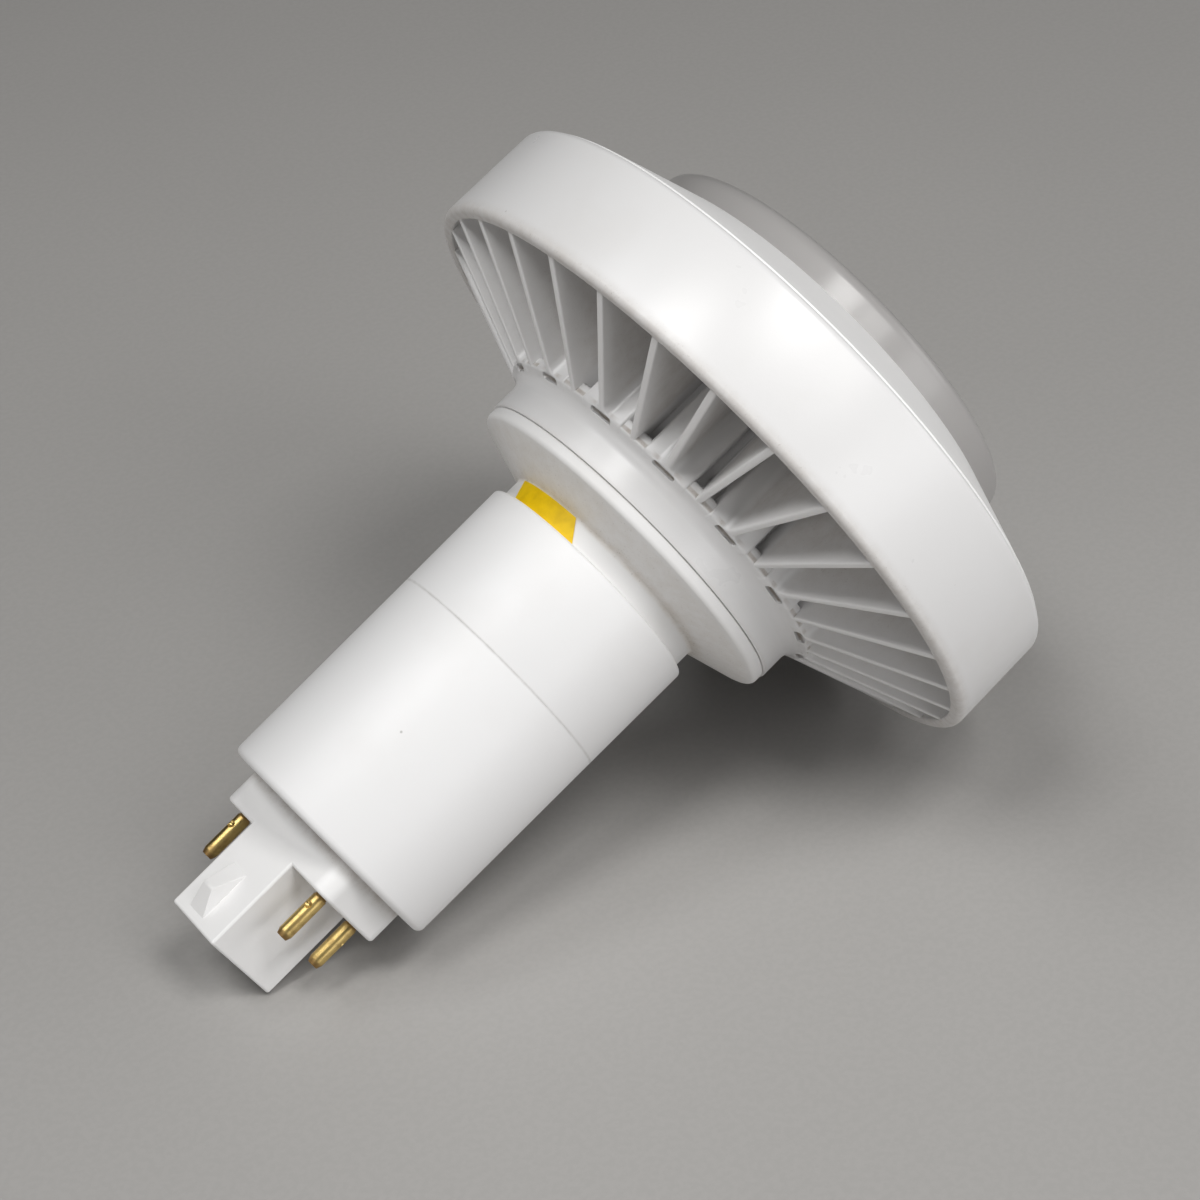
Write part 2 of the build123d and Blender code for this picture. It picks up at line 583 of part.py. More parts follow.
def pan_screws(offset, head_z, direction):
    """Turn a ring of screws whose heads bear on head_z and whose shanks run in one direction."""
    with BuildPart() as screws:
        with BuildSketch(Plane.XY.offset(head_z)):
            with PolarLocations(offset, SCREW_COUNT):
                Circle(SCREW_HEAD_DIAMETER / 2)
        extrude(amount=-direction * SCREW_HEAD_HEIGHT)
        with BuildSketch(Plane.XY.offset(head_z - direction * SCREW_HEAD_HEIGHT)):
            with PolarLocations(offset, SCREW_COUNT):
                Rectangle(SCREW_HEAD_DIAMETER * 0.6, SCREW_SLOT)
                Rectangle(SCREW_SLOT, SCREW_HEAD_DIAMETER * 0.6)
        extrude(amount=direction * SCREW_HEAD_HEIGHT / 2, mode=Mode.SUBTRACT)
        with BuildSketch(Plane.XY.offset(head_z)):
            with PolarLocations(offset, SCREW_COUNT):
                Circle(SCREW_RADIUS)
        extrude(amount=direction * SCREW_REACH)
    return screws


flange_screws = pan_screws(SCREW_POST_OFFSET, HUB_Z - FLANGE_PLATE, 1)
board_screws = pan_screws(BOARD_SCREW_OFFSET, BOARD_TOP_Z, -1)

# Driver board, upright in the housing with its parts on the upper face
with BuildPart() as driver_board:
    with BuildSketch(Plane.XZ.offset(-DRIVER_BOTTOM)):
        with Locations((0, DRIVER_Z + DRIVER_LENGTH / 2)):
            Rectangle(DRIVER_WIDTH, DRIVER_LENGTH)
    extrude(amount=-DRIVER_THICKNESS)


def on_driver(height):
    """Give the plane that lies a height above the board's upper face, facing up."""
    return Plane(origin=(0, DRIVER_TOP + height, DRIVER_Z), x_dir=(-1, 0, 0), z_dir=(0, 1, 0))


def electrolytic(side):
    """Turn one can that lies on the board with its crimp groove near the foot."""
    centre = (side * CAPACITOR_SPACING / 2, DRIVER_TOP + CAPACITOR_DIAMETER / 2, DRIVER_Z + CAPACITOR_START)
    with BuildPart() as can:
        with Locations(centre):
            Cylinder(CAPACITOR_DIAMETER / 2, CAPACITOR_LENGTH, align=(Align.CENTER, Align.CENTER, Align.MIN))
        with Locations((centre[0], centre[1], centre[2] + 2 * CAPACITOR_GROOVE)):
            Torus(CAPACITOR_DIAMETER / 2, CAPACITOR_GROOVE, mode=Mode.SUBTRACT)
        fillet(can.edges().sort_by(Axis.Z)[-1], radius=CAPACITOR_GROOVE)
    return can


electrolytic_capacitors = [electrolytic(side) for side in (-1, 1)]

with BuildPart() as transformer:
    with BuildSketch(on_driver(0)):
        with Locations((0, TRANSFORMER_START + TRANSFORMER_LENGTH / 2)):
            Rectangle(TRANSFORMER_WIDTH, TRANSFORMER_LENGTH)
    extrude(amount=TRANSFORMER_HEIGHT)
    with BuildSketch(on_driver(TRANSFORMER_LEG)):
        with Locations((0, TRANSFORMER_START + TRANSFORMER_LENGTH / 2)):
            Rectangle(TRANSFORMER_WIDTH, TRANSFORMER_LENGTH)
            Rectangle(TRANSFORMER_WIDTH - 2 * TRANSFORMER_LEG, TRANSFORMER_LENGTH, mode=Mode.SUBTRACT)
            Rectangle(TRANSFORMER_WIDTH, TRANSFORMER_LENGTH - 2 * TRANSFORMER_LEG, mode=Mode.SUBTRACT)
    extrude(amount=TRANSFORMER_HEIGHT - 2 * TRANSFORMER_LEG, mode=Mode.SUBTRACT)

with BuildPart() as film_capacitor:
    with BuildSketch(on_driver(0)):
        with Locations((0, DRIVER_MARGIN + FILM_LENGTH / 2)):
            Rectangle(FILM_WIDTH, FILM_LENGTH)
    extrude(amount=FILM_HEIGHT)
    fillet(film_capacitor.edges().filter_by(Axis.Y), radius=CAPACITOR_GROOVE)

with BuildPart() as line_inductor:
    with BuildSketch(on_driver(0)):
        with Locations((INDUCTOR_OFFSET, INDUCTOR_CENTRE)):
            Circle(INDUCTOR_DIAMETER / 2)
    extrude(amount=INDUCTOR_HEIGHT)
    with BuildSketch(on_driver(INDUCTOR_RIM)):
        with Locations((INDUCTOR_OFFSET, INDUCTOR_CENTRE)):
            Circle(INDUCTOR_DIAMETER / 2)
            Circle(INDUCTOR_DIAMETER / 2 - INDUCTOR_WAIST / 2, mode=Mode.SUBTRACT)
    extrude(amount=INDUCTOR_HEIGHT - 2 * INDUCTOR_RIM, mode=Mode.SUBTRACT)

with BuildPart() as rectifier:
    with BuildSketch(Plane.XZ.offset(-DRIVER_BOTTOM)):
        with Locations((0, DRIVER_Z + RECTIFIER_START)):
            Rectangle(RECTIFIER_WIDTH, RECTIFIER_LENGTH)
    extrude(amount=RECTIFIER_HEIGHT, taper=5)


def wire(points, bend):
    """Sweep one wire along straight runs joined by tangent bends."""
    with BuildPart() as strand:
        with BuildLine() as route:
            FilletPolyline(*points, radius=bend)
        with BuildSketch(Plane(origin=route.wires()[0] @ 0, z_dir=route.wires()[0] % 0)):
            Circle(WIRE_RADIUS)
        sweep(path=route.wires()[0])
    return strand.part


# Wires from the pins to the board, and from the board to the light board's connector
with BuildPart() as input_wires:
    for side_x in (-1, 1):
        for side_y in (-1, 1):
            wire_x = side_x * PIN_SPACING_X / 2
            start_y = side_y * PIN_SPACING_Y / 2
            step = (1 + side_y) * WIRE_DIAMETER
            add(
                wire(
                    [
                        (wire_x, start_y, PIN_TAIL_Z),
                        (wire_x, start_y, PIN_TAIL_Z + WIRE_DIAMETER),
                        (wire_x, DRIVER_TOP + WIRE_BEND + step, DRIVER_Z),
                        (wire_x, DRIVER_TOP + WIRE_BEND + step, DRIVER_Z + WIRE_BEND + step),
                        (wire_x, DRIVER_TOP, DRIVER_Z + WIRE_BEND + step),
                    ],
                    WIRE_BEND / 4,
                )
            )

OUTPUT_Z = DRIVER_Z + DRIVER_LENGTH - WIRE_DIAMETER
CONNECTOR_WIRE_Z = BOARD_TOP_Z + CONNECTOR_HEIGHT / 2
with BuildPart() as output_wires:
    for side_x in (-1, 1):
        wire_x = side_x * WIRE_DIAMETER
        add(
            wire(
                [
                    (wire_x, DRIVER_TOP, OUTPUT_Z),
                    (wire_x, 0, OUTPUT_Z),
                    (wire_x, 0, CONNECTOR_WIRE_Z),
                    (wire_x, -CONNECTOR_CENTRE + CONNECTOR_LENGTH / 2, CONNECTOR_WIRE_Z),
                ],
                WIRE_BEND / 2,
            )
        )

# Label: a thin strip around the neck, tucked into the housing's mouth
with BuildPart() as yellow_label:
    with BuildSketch(Plane.XY.offset(HOUSING_TOP_Z - LABEL_TUCK)):
        with BuildLine():
            outside = CenterArc(
                (0, 0), NECK_RADIUS + LABEL_THICKNESS, LABEL_CENTRE - LABEL_ANGLE / 2, LABEL_ANGLE
            )
            inside = CenterArc((0, 0), NECK_RADIUS, LABEL_CENTRE - LABEL_ANGLE / 2, LABEL_ANGLE)
            Line(inside @ 0, outside @ 0)
            Line(inside @ 1, outside @ 1)
        make_face()
    extrude(amount=LABEL_TUCK + NECK_SHOWS - LABEL_GAP)

pieces = {
    "cap_body": cap_body,
    "lower_housing": lower_housing,
    "upper_housing": upper_housing,
    "neck_flange": neck_flange,
    "heat_sink": heat_sink,
    "front_bezel": front_bezel,
    "lens": lens,
    "lens_seal": lens_seal,
    "thermal_pad": thermal_pad,
    "led_board": led_board,
    "led_chips": led_chips,
    "wire_connector": wire_connector,
    "flange_screws": flange_screws,
    "board_screws": board_screws,
    "driver_board": driver_board,
    "transformer": transformer,
    "film_capacitor": film_capacitor,
    "line_inductor": line_inductor,
    "rectifier": rectifier,
    "input_wires": input_wires,
    "output_wires": output_wires,
    "yellow_label": yellow_label,
}
for number, pin in enumerate(contact_pins, start=1):
    pieces[f"contact_pin_{number}"] = pin
for number, can in enumerate(electrolytic_capacitors, start=1):
    pieces[f"electrolytic_capacitor_{number}"] = can

# Rest: the floor touches the ring's rear edge and the lowest corner of the cap
ring_centre = (RING_Z + RING_REAR_EDGE_RADIUS, RING_RADIUS - RING_REAR_EDGE_RADIUS)
cap_corners = [
    (POST_EDGE_RADIUS, POST_DEPTH / 2 - POST_EDGE_RADIUS, POST_EDGE_RADIUS),
    (WEDGE_START + WEDGE_CREST - WEDGE_CREST_LENGTH / 2, POST_DEPTH / 2 + WEDGE_HEIGHT, 0),
    (WEDGE_START + WEDGE_CREST + WEDGE_CREST_LENGTH / 2, POST_DEPTH / 2 + WEDGE_HEIGHT, 0),
]
rest_angle = min(
    math.atan2(ring_centre[1] - corner_y, ring_centre[0] - corner_z)
    + math.asin((RING_REAR_EDGE_RADIUS - corner_r) / math.dist(ring_centre, (corner_z, corner_y)))
    for corner_z, corner_y, corner_r in cap_corners
)
lean = (math.cos(rest_angle), 0, math.sin(rest_angle))
laid = Compound([piece.part for piece in pieces.values()]).moved(
    Plane(origin=(0, 0, 0), x_dir=(0, 1, 0), z_dir=lean).location
)
box = laid.bounding_box()
origin = (-(box.min.X + box.max.X) / 2, -(box.min.Y + box.max.Y) / 2, -box.min.Z)
lying = Plane(origin=origin, x_dir=(0, 1, 0), z_dir=lean).location

for name, piece in pieces.items():
    piece.part.label = name
    placed = piece.part.moved(lying)
    placed.label = name
    export_step(placed, f"parts/{name}.step")

print(f"rest angle {math.degrees(rest_angle):.2f} degrees")
print(f"origin {origin[0]:.3f} {origin[1]:.3f} {origin[2]:.3f}")
print(f"box {box.size.X:.2f} x {box.size.Y:.2f} x {box.size.Z:.2f} mm")
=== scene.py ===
"""Looks for the four-pin LED lamp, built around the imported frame.

Each piece is modelled in the lamp's own frame, in metres: Z runs along the lamp
from the tip of the cap's post towards the lens, X across the pairs of pins, and
Y up through the post's wide face. It is then laid down as the frame lies.
"""

import math

import bpy
from mathutils import Matrix, Vector


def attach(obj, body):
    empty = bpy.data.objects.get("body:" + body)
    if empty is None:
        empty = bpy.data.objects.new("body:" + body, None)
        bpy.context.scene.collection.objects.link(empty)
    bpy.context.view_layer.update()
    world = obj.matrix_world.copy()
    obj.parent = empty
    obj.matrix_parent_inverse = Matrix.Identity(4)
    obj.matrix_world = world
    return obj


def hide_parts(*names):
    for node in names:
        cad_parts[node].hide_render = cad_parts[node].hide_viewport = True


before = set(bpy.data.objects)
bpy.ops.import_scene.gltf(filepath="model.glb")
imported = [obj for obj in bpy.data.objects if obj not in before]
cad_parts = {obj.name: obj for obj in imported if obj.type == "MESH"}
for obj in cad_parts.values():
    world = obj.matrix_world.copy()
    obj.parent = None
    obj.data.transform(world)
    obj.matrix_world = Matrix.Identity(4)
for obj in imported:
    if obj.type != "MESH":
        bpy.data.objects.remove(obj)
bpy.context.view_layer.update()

MM = 0.001
TURN_STEPS = 360
ARC_STEPS = 6

# How the lamp lies: its axis rises from the table, and its tip's place in the row frame
REST_ANGLE = math.radians(24.755)
REST_ORIGIN = (-64.809, 0.0, 7.970)

# Heights along the lamp, in millimetres, as in the part's source
PIN_TIP_Z = 7.9
SHOULDER_Z = 16.1
HOUSING_Z = 21.9
SEAM_Z = 58.0
HOUSING_TOP_Z = 77.2
NECK_BOTTOM_Z = 62.0
FLANGE_Z = 80.7
HUB_Z = 85.9
FIN_ROOT_Z = 91.4
SHELF_FRONT_Z = 94.2
RING_Z = 100.5
PLATE_BACK_Z = 111.5
PLATE_Z = 114.5
RING_FRONT_Z = 118.0
BEZEL_Z = 125.5
LENS_Z = 115.3
LENS_FLANGE_Z = 116.9
LENS_RIM_Z = 130.9

# Other sizes, in millimetres, as in the part's source
POST_HALF_WIDTH = 5.9
POST_HALF_DEPTH = 8.3
SHOULDER_HALF_WIDTH = 14.45
SHOULDER_CORNER_RADIUS = 2.9
WEDGE_START = 1.5
WEDGE_LENGTH = 8.9
WEDGE_WIDTH = 3.8
WEDGE_OFFSET = 0.75
WEDGE_HEIGHT = 2.3
PIN_RADIUS = 1.17
PIN_ROOT_RADIUS = 1.0
PIN_DIMPLE_RADIUS = 1.32
PIN_DIMPLE_DEPTH = 0.3
PIN_PLACES = ((-11.1, -4.55), (-11.1, 4.55), (11.1, -4.55), (11.1, 4.55))
HOUSING_BOTTOM_RADIUS = 19.3
HOUSING_SEAM_RADIUS = 19.5
HOUSING_TOP_RADIUS = 19.65
HOUSING_FLOOR = 1.6
FLOOR_HOLE_RADIUS = 8.0
LOWER_BORE = 18.05
LAP_LENGTH = 4.0
LAP_RADIUS = 18.15
LAP_GAP = 0.1
UPPER_BORE = 18.5
LAP_BORE = 17.05
NECK_RADIUS = 18.3
NECK_BORE = 16.7
FLANGE_RADIUS = 28.5
FLANGE_CONE_RISE = 3.2
FLANGE_PLATE = 2.5
WIRE_HOLE_RADIUS = 5.0
HUB_BORE = 26.25
HUB_RADIUS = 28.75
ROOT_RADIUS = 31.2
ROOT_HALF_WIDTH = 4.2
DENT_HALF_WIDTH = 2.15
DENT_FLOOR_RADIUS = 30.0
FIN_INNER_RADIUS = 26.8
FIN_OUTER_RADIUS = 53.2
PLATE_HOLE_RADIUS = 3.0
RING_RADIUS = 54.75
RING_FRONT_RADIUS = 54.55
RING_BORE = 52.55
ROOT_COUNT = 15
FIN_PHASE = 6.0
FIN_EDGE = 1.1
BEZEL_BORE = 35.1
BEZEL_CREST = 36.9
BEZEL_WALL = 1.8
BEZEL_SKIRT = 52.35
BEZEL_LIP = 53.35
LENS_RADIUS = 34.9
LENS_WALL = 1.8
LENS_DOME = 1.7
LENS_BORE = LENS_RADIUS - LENS_WALL
LENS_FLANGE_RADIUS = 38.0
FIN_SLOPE = (RING_Z - FIN_ROOT_Z) / (RING_BORE - HUB_RADIUS)

lean_sin, lean_cos = math.sin(REST_ANGLE), math.cos(REST_ANGLE)
LYING = Matrix(
    (
        (0, -lean_sin, lean_cos, REST_ORIGIN[0] * MM),
        (1, 0, 0, REST_ORIGIN[1] * MM),
        (0, lean_cos, lean_sin, REST_ORIGIN[2] * MM),
        (0, 0, 0, 1),
    )
)


def on_cone(radius):
    """The height of the cone that the fins' rear edges lie on."""
    return FIN_ROOT_Z + FIN_SLOPE * (radius - HUB_RADIUS)


# What the looks add, in millimetres: the least hole at the axis, the seam's gap,
# the label's faces over the neck, and its ends as (lower angle, upper angle, side cut off)
AXIS_HOLE = 0.02
SEAM_GAP = 0.01
LABEL_IN, LABEL_OUT = 0.02, 0.13
LABEL_BOTTOM_Z = HOUSING_TOP_Z - 2.0
LABEL_TOP_Z = 80.55
LABEL_ENDS = ((70.0, 61.0, 1), (115.5, 114.0, -1))

# Crimp dents on the pins, as (angle round the pin, height)
PIN_DENTS = ((200.0, 13.2), (100.0, 13.9), (20.0, 13.4), (90.0, 13.8))

# The brown of the dust on the cap and the heat sink, also used as painted shade deep between the
# fins
DUST_AND_SHADE_BROWN = (0.42, 0.37, 0.32)


# Modelling helpers


def deselect():
    """Leave edit mode and select nothing."""
    if bpy.context.object and bpy.context.object.mode != "OBJECT":
        bpy.ops.object.mode_set(mode="OBJECT")
    bpy.ops.object.select_all(action="DESELECT")


def pick(piece):
    """Select one piece alone and make it active."""
    deselect()
    piece.select_set(True)
    bpy.context.view_layer.objects.active = piece


def soften(outline):
    """Swap each corner of an outline that states a third number for an arc of that radius."""
    path = []
    for place, corner in enumerate(outline):
        here = Vector(corner[:2])
        if len(corner) == 2:
            path.append(here)
            continue
        to_before = (Vector(outline[place - 1][:2]) - here).normalized()
        to_after = (Vector(outline[(place + 1) % len(outline)][:2]) - here).normalized()
        half = to_before.angle(to_after) / 2
        centre = here + (to_before + to_after).normalized() * (corner[2] / math.sin(half))
        reach = corner[2] / math.tan(half)
        start = here + to_before * reach - centre
        end = here + to_after * reach - centre
        sweep = math.atan2(start.cross(end), start.dot(end))
        for step in range(ARC_STEPS + 1):
            turn = Matrix.Rotation(sweep * step / ARC_STEPS, 2)
            path.append(centre + turn @ start)
    return path


def turned(name, outline, steps=TURN_STEPS):
    """Turn a closed outline of (radius, height) corners round the lamp's axis."""
    deselect()
    path = soften(outline)
    radius, height = path[0]
    bpy.ops.mesh.primitive_circle_add(
        vertices=steps, radius=radius * MM, location=(0, 0, height * MM)
    )
    piece = bpy.context.object
    piece.name = name
    bpy.ops.object.transform_apply()
    bpy.ops.object.mode_set(mode="EDIT")
    bpy.ops.mesh.select_mode(type="VERT")
    bpy.ops.mesh.select_all(action="SELECT")
    for next_radius, next_height in path[1:] + path[:1]:
        bpy.ops.mesh.extrude_region_move(
            TRANSFORM_OT_translate={"value": (0, 0, (next_height - height) * MM)}
        )
        bpy.ops.transform.resize(value=(next_radius / radius, next_radius / radius, 1))
        radius, height = next_radius, next_height
    bpy.ops.mesh.select_all(action="SELECT")
    bpy.ops.mesh.remove_doubles(threshold=0.002 * MM)
    bpy.ops.mesh.normals_make_consistent(inside=False)
    bpy.ops.object.mode_set(mode="OBJECT")
    return piece


def block(name, low, high):
    """Add a box between two corners given in millimetres."""
    deselect()
    bpy.ops.mesh.primitive_cube_add(size=1)
    piece = bpy.context.object
    piece.name = name
    piece.scale = [(h - l) * MM for l, h in zip(low, high)]
    piece.location = [(h + l) / 2 * MM for l, h in zip(low, high)]
    bpy.ops.object.transform_apply()
    return piece


def select_in(piece, kind, test):
    """Enter edit mode with only the edges or faces that pass a test, in millimetres, selected."""
    bpy.ops.object.mode_set(mode="EDIT")
    bpy.ops.mesh.select_mode(type={"edges": "EDGE", "faces": "FACE"}[kind])
    bpy.ops.mesh.select_all(action="DESELECT")
    bpy.ops.object.mode_set(mode="OBJECT")
    mesh = piece.data
    if kind == "edges":
        for edge in mesh.edges:
            edge.select = test(*[mesh.vertices[v].co / MM for v in edge.vertices])
    else:
        for face in mesh.polygons:
            face.select = test(face.center / MM, face.normal)
    bpy.ops.object.mode_set(mode="EDIT")


def apply_modifier(piece, kind, **settings):
    """Add a modifier with these settings and apply it."""
    pick(piece)
    modifier = piece.modifiers.new(kind.lower(), kind)
    for key, value in settings.items():
        setattr(modifier, key, value)
    bpy.ops.object.modifier_apply(modifier=modifier.name)


def cut(piece, tool, operation="DIFFERENCE"):
    """Cut a piece with a tool piece, or unite the two, and remove the tool."""
    apply_modifier(piece, "BOOLEAN", operation=operation, object=tool, solver="EXACT")
    bpy.data.objects.remove(tool)


def rounded_edges(piece, width, segments, angle=30):
    """Round every edge sharper than an angle."""
    apply_modifier(
        piece,
        "BEVEL",
        width=width * MM,
        segments=segments,
        limit_method="ANGLE",
        angle_limit=math.radians(angle),
    )


def trim(piece, place, outward):
    """Cut off what lies outside a plane, given in millimetres, and close the cut."""
    pick(piece)
    bpy.ops.object.mode_set(mode="EDIT")
    bpy.ops.mesh.select_all(action="SELECT")
    bpy.ops.mesh.bisect(
        plane_co=Vector(place) * MM, plane_no=outward, clear_outer=True, use_fill=True
    )
    bpy.ops.object.mode_set(mode="OBJECT")


def bevelled(piece, test, width, segments):
    """Round only the edges whose two ends pass a test, in millimetres."""
    pick(piece)
    select_in(piece, "edges", test)
    bpy.ops.mesh.bevel(offset=width * MM, segments=segments, affect="EDGES")
    bpy.ops.object.mode_set(mode="OBJECT")


def join(pieces):
    """Join pieces into the first one."""
    pick(pieces[0])
    for piece in pieces[1:]:
        piece.select_set(True)
    bpy.ops.object.join()
    return pieces[0]


def copied_round(piece, count, start):
    """Copy a piece round the axis, each copy with its own mesh, and join the ring."""
    ring = []
    for step in range(count):
        copy = piece.copy()
        copy.data = piece.data.copy()
        bpy.context.collection.objects.link(copy)
        copy.data.transform(Matrix.Rotation(math.radians(start + 360 / count * step), 4, "Z"))
        ring.append(copy)
    bpy.data.objects.remove(piece)
    return join(ring)


def finished(piece, material, slot, *nodes, smooth=35):
    """Smooth a piece, lay it down, dress it and let it stand for its nodes."""
    pick(piece)
    bpy.ops.object.shade_smooth_by_angle(angle=math.radians(smooth))
    piece.data.transform(LYING)
    piece.data.materials.clear()
    piece.data.materials.append(material)
    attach(piece, "root")
    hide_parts(*nodes)
    return piece


# Materials


def new_group(name, inputs, outputs):
    """Start a shader node group with named inputs and outputs."""
    group = bpy.data.node_groups.new(name, "ShaderNodeTree")
    for label, kind, value in inputs:
        socket = group.interface.new_socket(label, in_out="INPUT", socket_type=kind)
        if value is not None:
            socket.default_value = value
    for label, kind in outputs:
        group.interface.new_socket(label, in_out="OUTPUT", socket_type=kind)
    entry = group.nodes.new("NodeGroupInput")
    leave = group.nodes.new("NodeGroupOutput")
    return group, entry, leave


def node(tree, kind, inputs=None, **settings):
    """Add a node, set its properties and set or link its inputs."""
    made = tree.nodes.new("ShaderNode" + kind)
    for key, value in settings.items():
        setattr(made, key, value)
    for key, value in (inputs or {}).items():
        if isinstance(value, bpy.types.NodeSocket):
            tree.links.new(value, made.inputs[key])
        else:
            made.inputs[key].default_value = value
    return made


def maths(tree, operation, first, second=0.0, third=0.0, clamp=False):
    """Add a Math node and give its output."""
    inputs = {0: first, 1: second, 2: third}
    return node(tree, "Math", inputs, operation=operation, use_clamp=clamp).outputs[0]


def span(tree, value, low, high, out_low=0.0, out_high=1.0):
    """Map a value from one span to another, held at its ends."""
    made = node(
        tree,
        "MapRange",
        {"Value": value, "From Min": low, "From Max": high, "To Min": out_low, "To Max": out_high},
        interpolation_type="SMOOTHSTEP",
        clamp=True,
    )
    return made.outputs["Result"]


def blend_colours(tree, factor, first, second):
    """Mix two colours. A Mix node's colours are its inputs 6 and 7, and its output 2."""
    return node(tree, "Mix", {0: factor, 6: first, 7: second}, data_type="RGBA").outputs[2]


def noise(tree, place, scale, detail, roughness=0.5):
    """Add a noise texture at a place on the lamp."""
    inputs = {"Vector": place, "Scale": scale, "Detail": detail, "Roughness": roughness}
    return node(tree, "TexNoise", inputs)


def lamp_place_group():
    """Turn Object coordinates into the lamp's own frame, in millimetres."""
    group, entry, leave = new_group(
        "place on the lamp",
        [("Object", "NodeSocketVector", None)],
        [
            ("Place", "NodeSocketVector"),
            ("Radius", "NodeSocketFloat"),
            ("Height", "NodeSocketFloat"),
        ],
    )
    back = LYING.inverted()
    mapping = node(
        group,
        "Mapping",
        {
            "Vector": entry.outputs["Object"],
            "Location": back.to_translation(),
            "Rotation": back.to_euler("XYZ"),
        },
        vector_type="POINT",
    )
    inputs = {0: mapping.outputs[0], 1: (1 / MM,) * 3}
    scaled = node(group, "VectorMath", inputs, operation="MULTIPLY")
    split = node(group, "SeparateXYZ", {0: scaled.outputs[0]})
    flat = node(group, "CombineXYZ", {"X": split.outputs["X"], "Y": split.outputs["Y"]})
    radius = node(group, "VectorMath", {0: flat.outputs[0]}, operation="LENGTH")
    group.links.new(scaled.outputs[0], leave.inputs["Place"])
    group.links.new(radius.outputs["Value"], leave.inputs["Radius"])
    group.links.new(split.outputs["Z"], leave.inputs["Height"])
    return group


def moulded_group():
    """Fine moulded skin: a faint grain, cloudy gloss, and small dark specks."""
    group, entry, leave = new_group(
        "moulded skin",
        [
            ("Place", "NodeSocketVector", None),
            ("Base", "NodeSocketColor", (0.8, 0.8, 0.8, 1)),
            ("Roughness", "NodeSocketFloat", 0.4),
            ("Specks", "NodeSocketFloat", 0.5),
            ("Smudge", "NodeSocketFloat", 0.3),
        ],
        [
            ("Color", "NodeSocketColor"),
            ("Roughness", "NodeSocketFloat"),
            ("Height", "NodeSocketFloat"),
        ],
    )
    place = entry.outputs["Place"]
    clouds = noise(group, place, 0.06, 4.0, 0.6)
    grain = noise(group, place, 2.2, 3.0, 0.55)
    cells = node(group, "TexVoronoi", {"Vector": place, "Scale": 0.13, "Randomness": 1.0})
    chance = node(group, "SeparateColor", {0: cells.outputs["Color"]})
    spot = span(group, cells.outputs["Distance"], 0.035, 0.015)
    speck = maths(group, "MULTIPLY", spot, span(group, chance.outputs[0], 0.45, 0.75))
    speck = maths(group, "MULTIPLY", speck, entry.outputs["Specks"])
    dirty = span(group, clouds.outputs["Fac"], 0.50, 0.72)
    dirty = maths(group, "MULTIPLY", dirty, entry.outputs["Smudge"])
    warm = blend_colours(group, dirty, entry.outputs["Base"], (0.50, 0.46, 0.40, 1))
    spotted = blend_colours(group, speck, warm, (0.16, 0.14, 0.12, 1))
    rough = maths(group, "MULTIPLY_ADD", clouds.outputs["Fac"], 0.16, -0.08)
    rough = maths(group, "ADD", entry.outputs["Roughness"], rough, clamp=True)
    group.links.new(spotted, leave.inputs["Color"])
    group.links.new(rough, leave.inputs["Roughness"])
    group.links.new(grain.outputs["Fac"], leave.inputs["Height"])
    return group


def dust_group():
    """Dust, and on the heat sink painted shade between the fins, that lies thick where a mask is
    high, broken up and speckled.
    """
    group, entry, leave = new_group(
        "dust",
        [
            ("Place", "NodeSocketVector", None),
            ("Mask", "NodeSocketFloat", 0.5),
            ("Color", "NodeSocketColor", (0.8, 0.8, 0.8, 1)),
            ("Dust", "NodeSocketColor", (0.45, 0.39, 0.32, 1)),
            ("Grains", "NodeSocketFloat", 0.5),
        ],
        [("Color", "NodeSocketColor"), ("Amount", "NodeSocketFloat")],
    )
    place = entry.outputs["Place"]
    patches = noise(group, place, 0.45, 6.0, 0.65)
    grains = noise(group, place, 3.4, 2.0, 0.6)
    broken = span(group, patches.outputs["Fac"], 0.25, 0.72, 0.45, 1.15)
    amount = maths(group, "MULTIPLY", entry.outputs["Mask"], broken, clamp=True)
    fine = maths(group, "MULTIPLY", span(group, grains.outputs["Fac"], 0.60, 0.74), amount)
    fine = maths(group, "MULTIPLY", fine, entry.outputs["Grains"], clamp=True)
    dusty = blend_colours(group, amount, entry.outputs["Color"], entry.outputs["Dust"])
    spotted = blend_colours(group, fine, dusty, (0.17, 0.13, 0.10, 1))
    group.links.new(spotted, leave.inputs["Color"])
    group.links.new(amount, leave.inputs["Amount"])
    return group


PLACE = lamp_place_group()
MOULDED = moulded_group()
DUST_AND_SHADE = dust_group()


def new_material(name):
    """Start a material and give its tree, its shader and the place on the lamp."""
    material = bpy.data.materials.new(name)
    material.use_nodes = True
    tree = material.node_tree
    shader = tree.nodes["Principled BSDF"]
    where = node(tree, "TexCoord")
    place = node(tree, "Group", {"Object": where.outputs["Object"]}, node_tree=PLACE)
    return material, tree, shader, place


def raise_bumps(tree, shader, height, strength, distance):
    """Lead a height into the shader's normal; the distance is in metres."""
    bump = node(tree, "Bump", {"Height": height, "Strength": strength, "Distance": distance})
    tree.links.new(bump.outputs["Normal"], shader.inputs["Normal"])


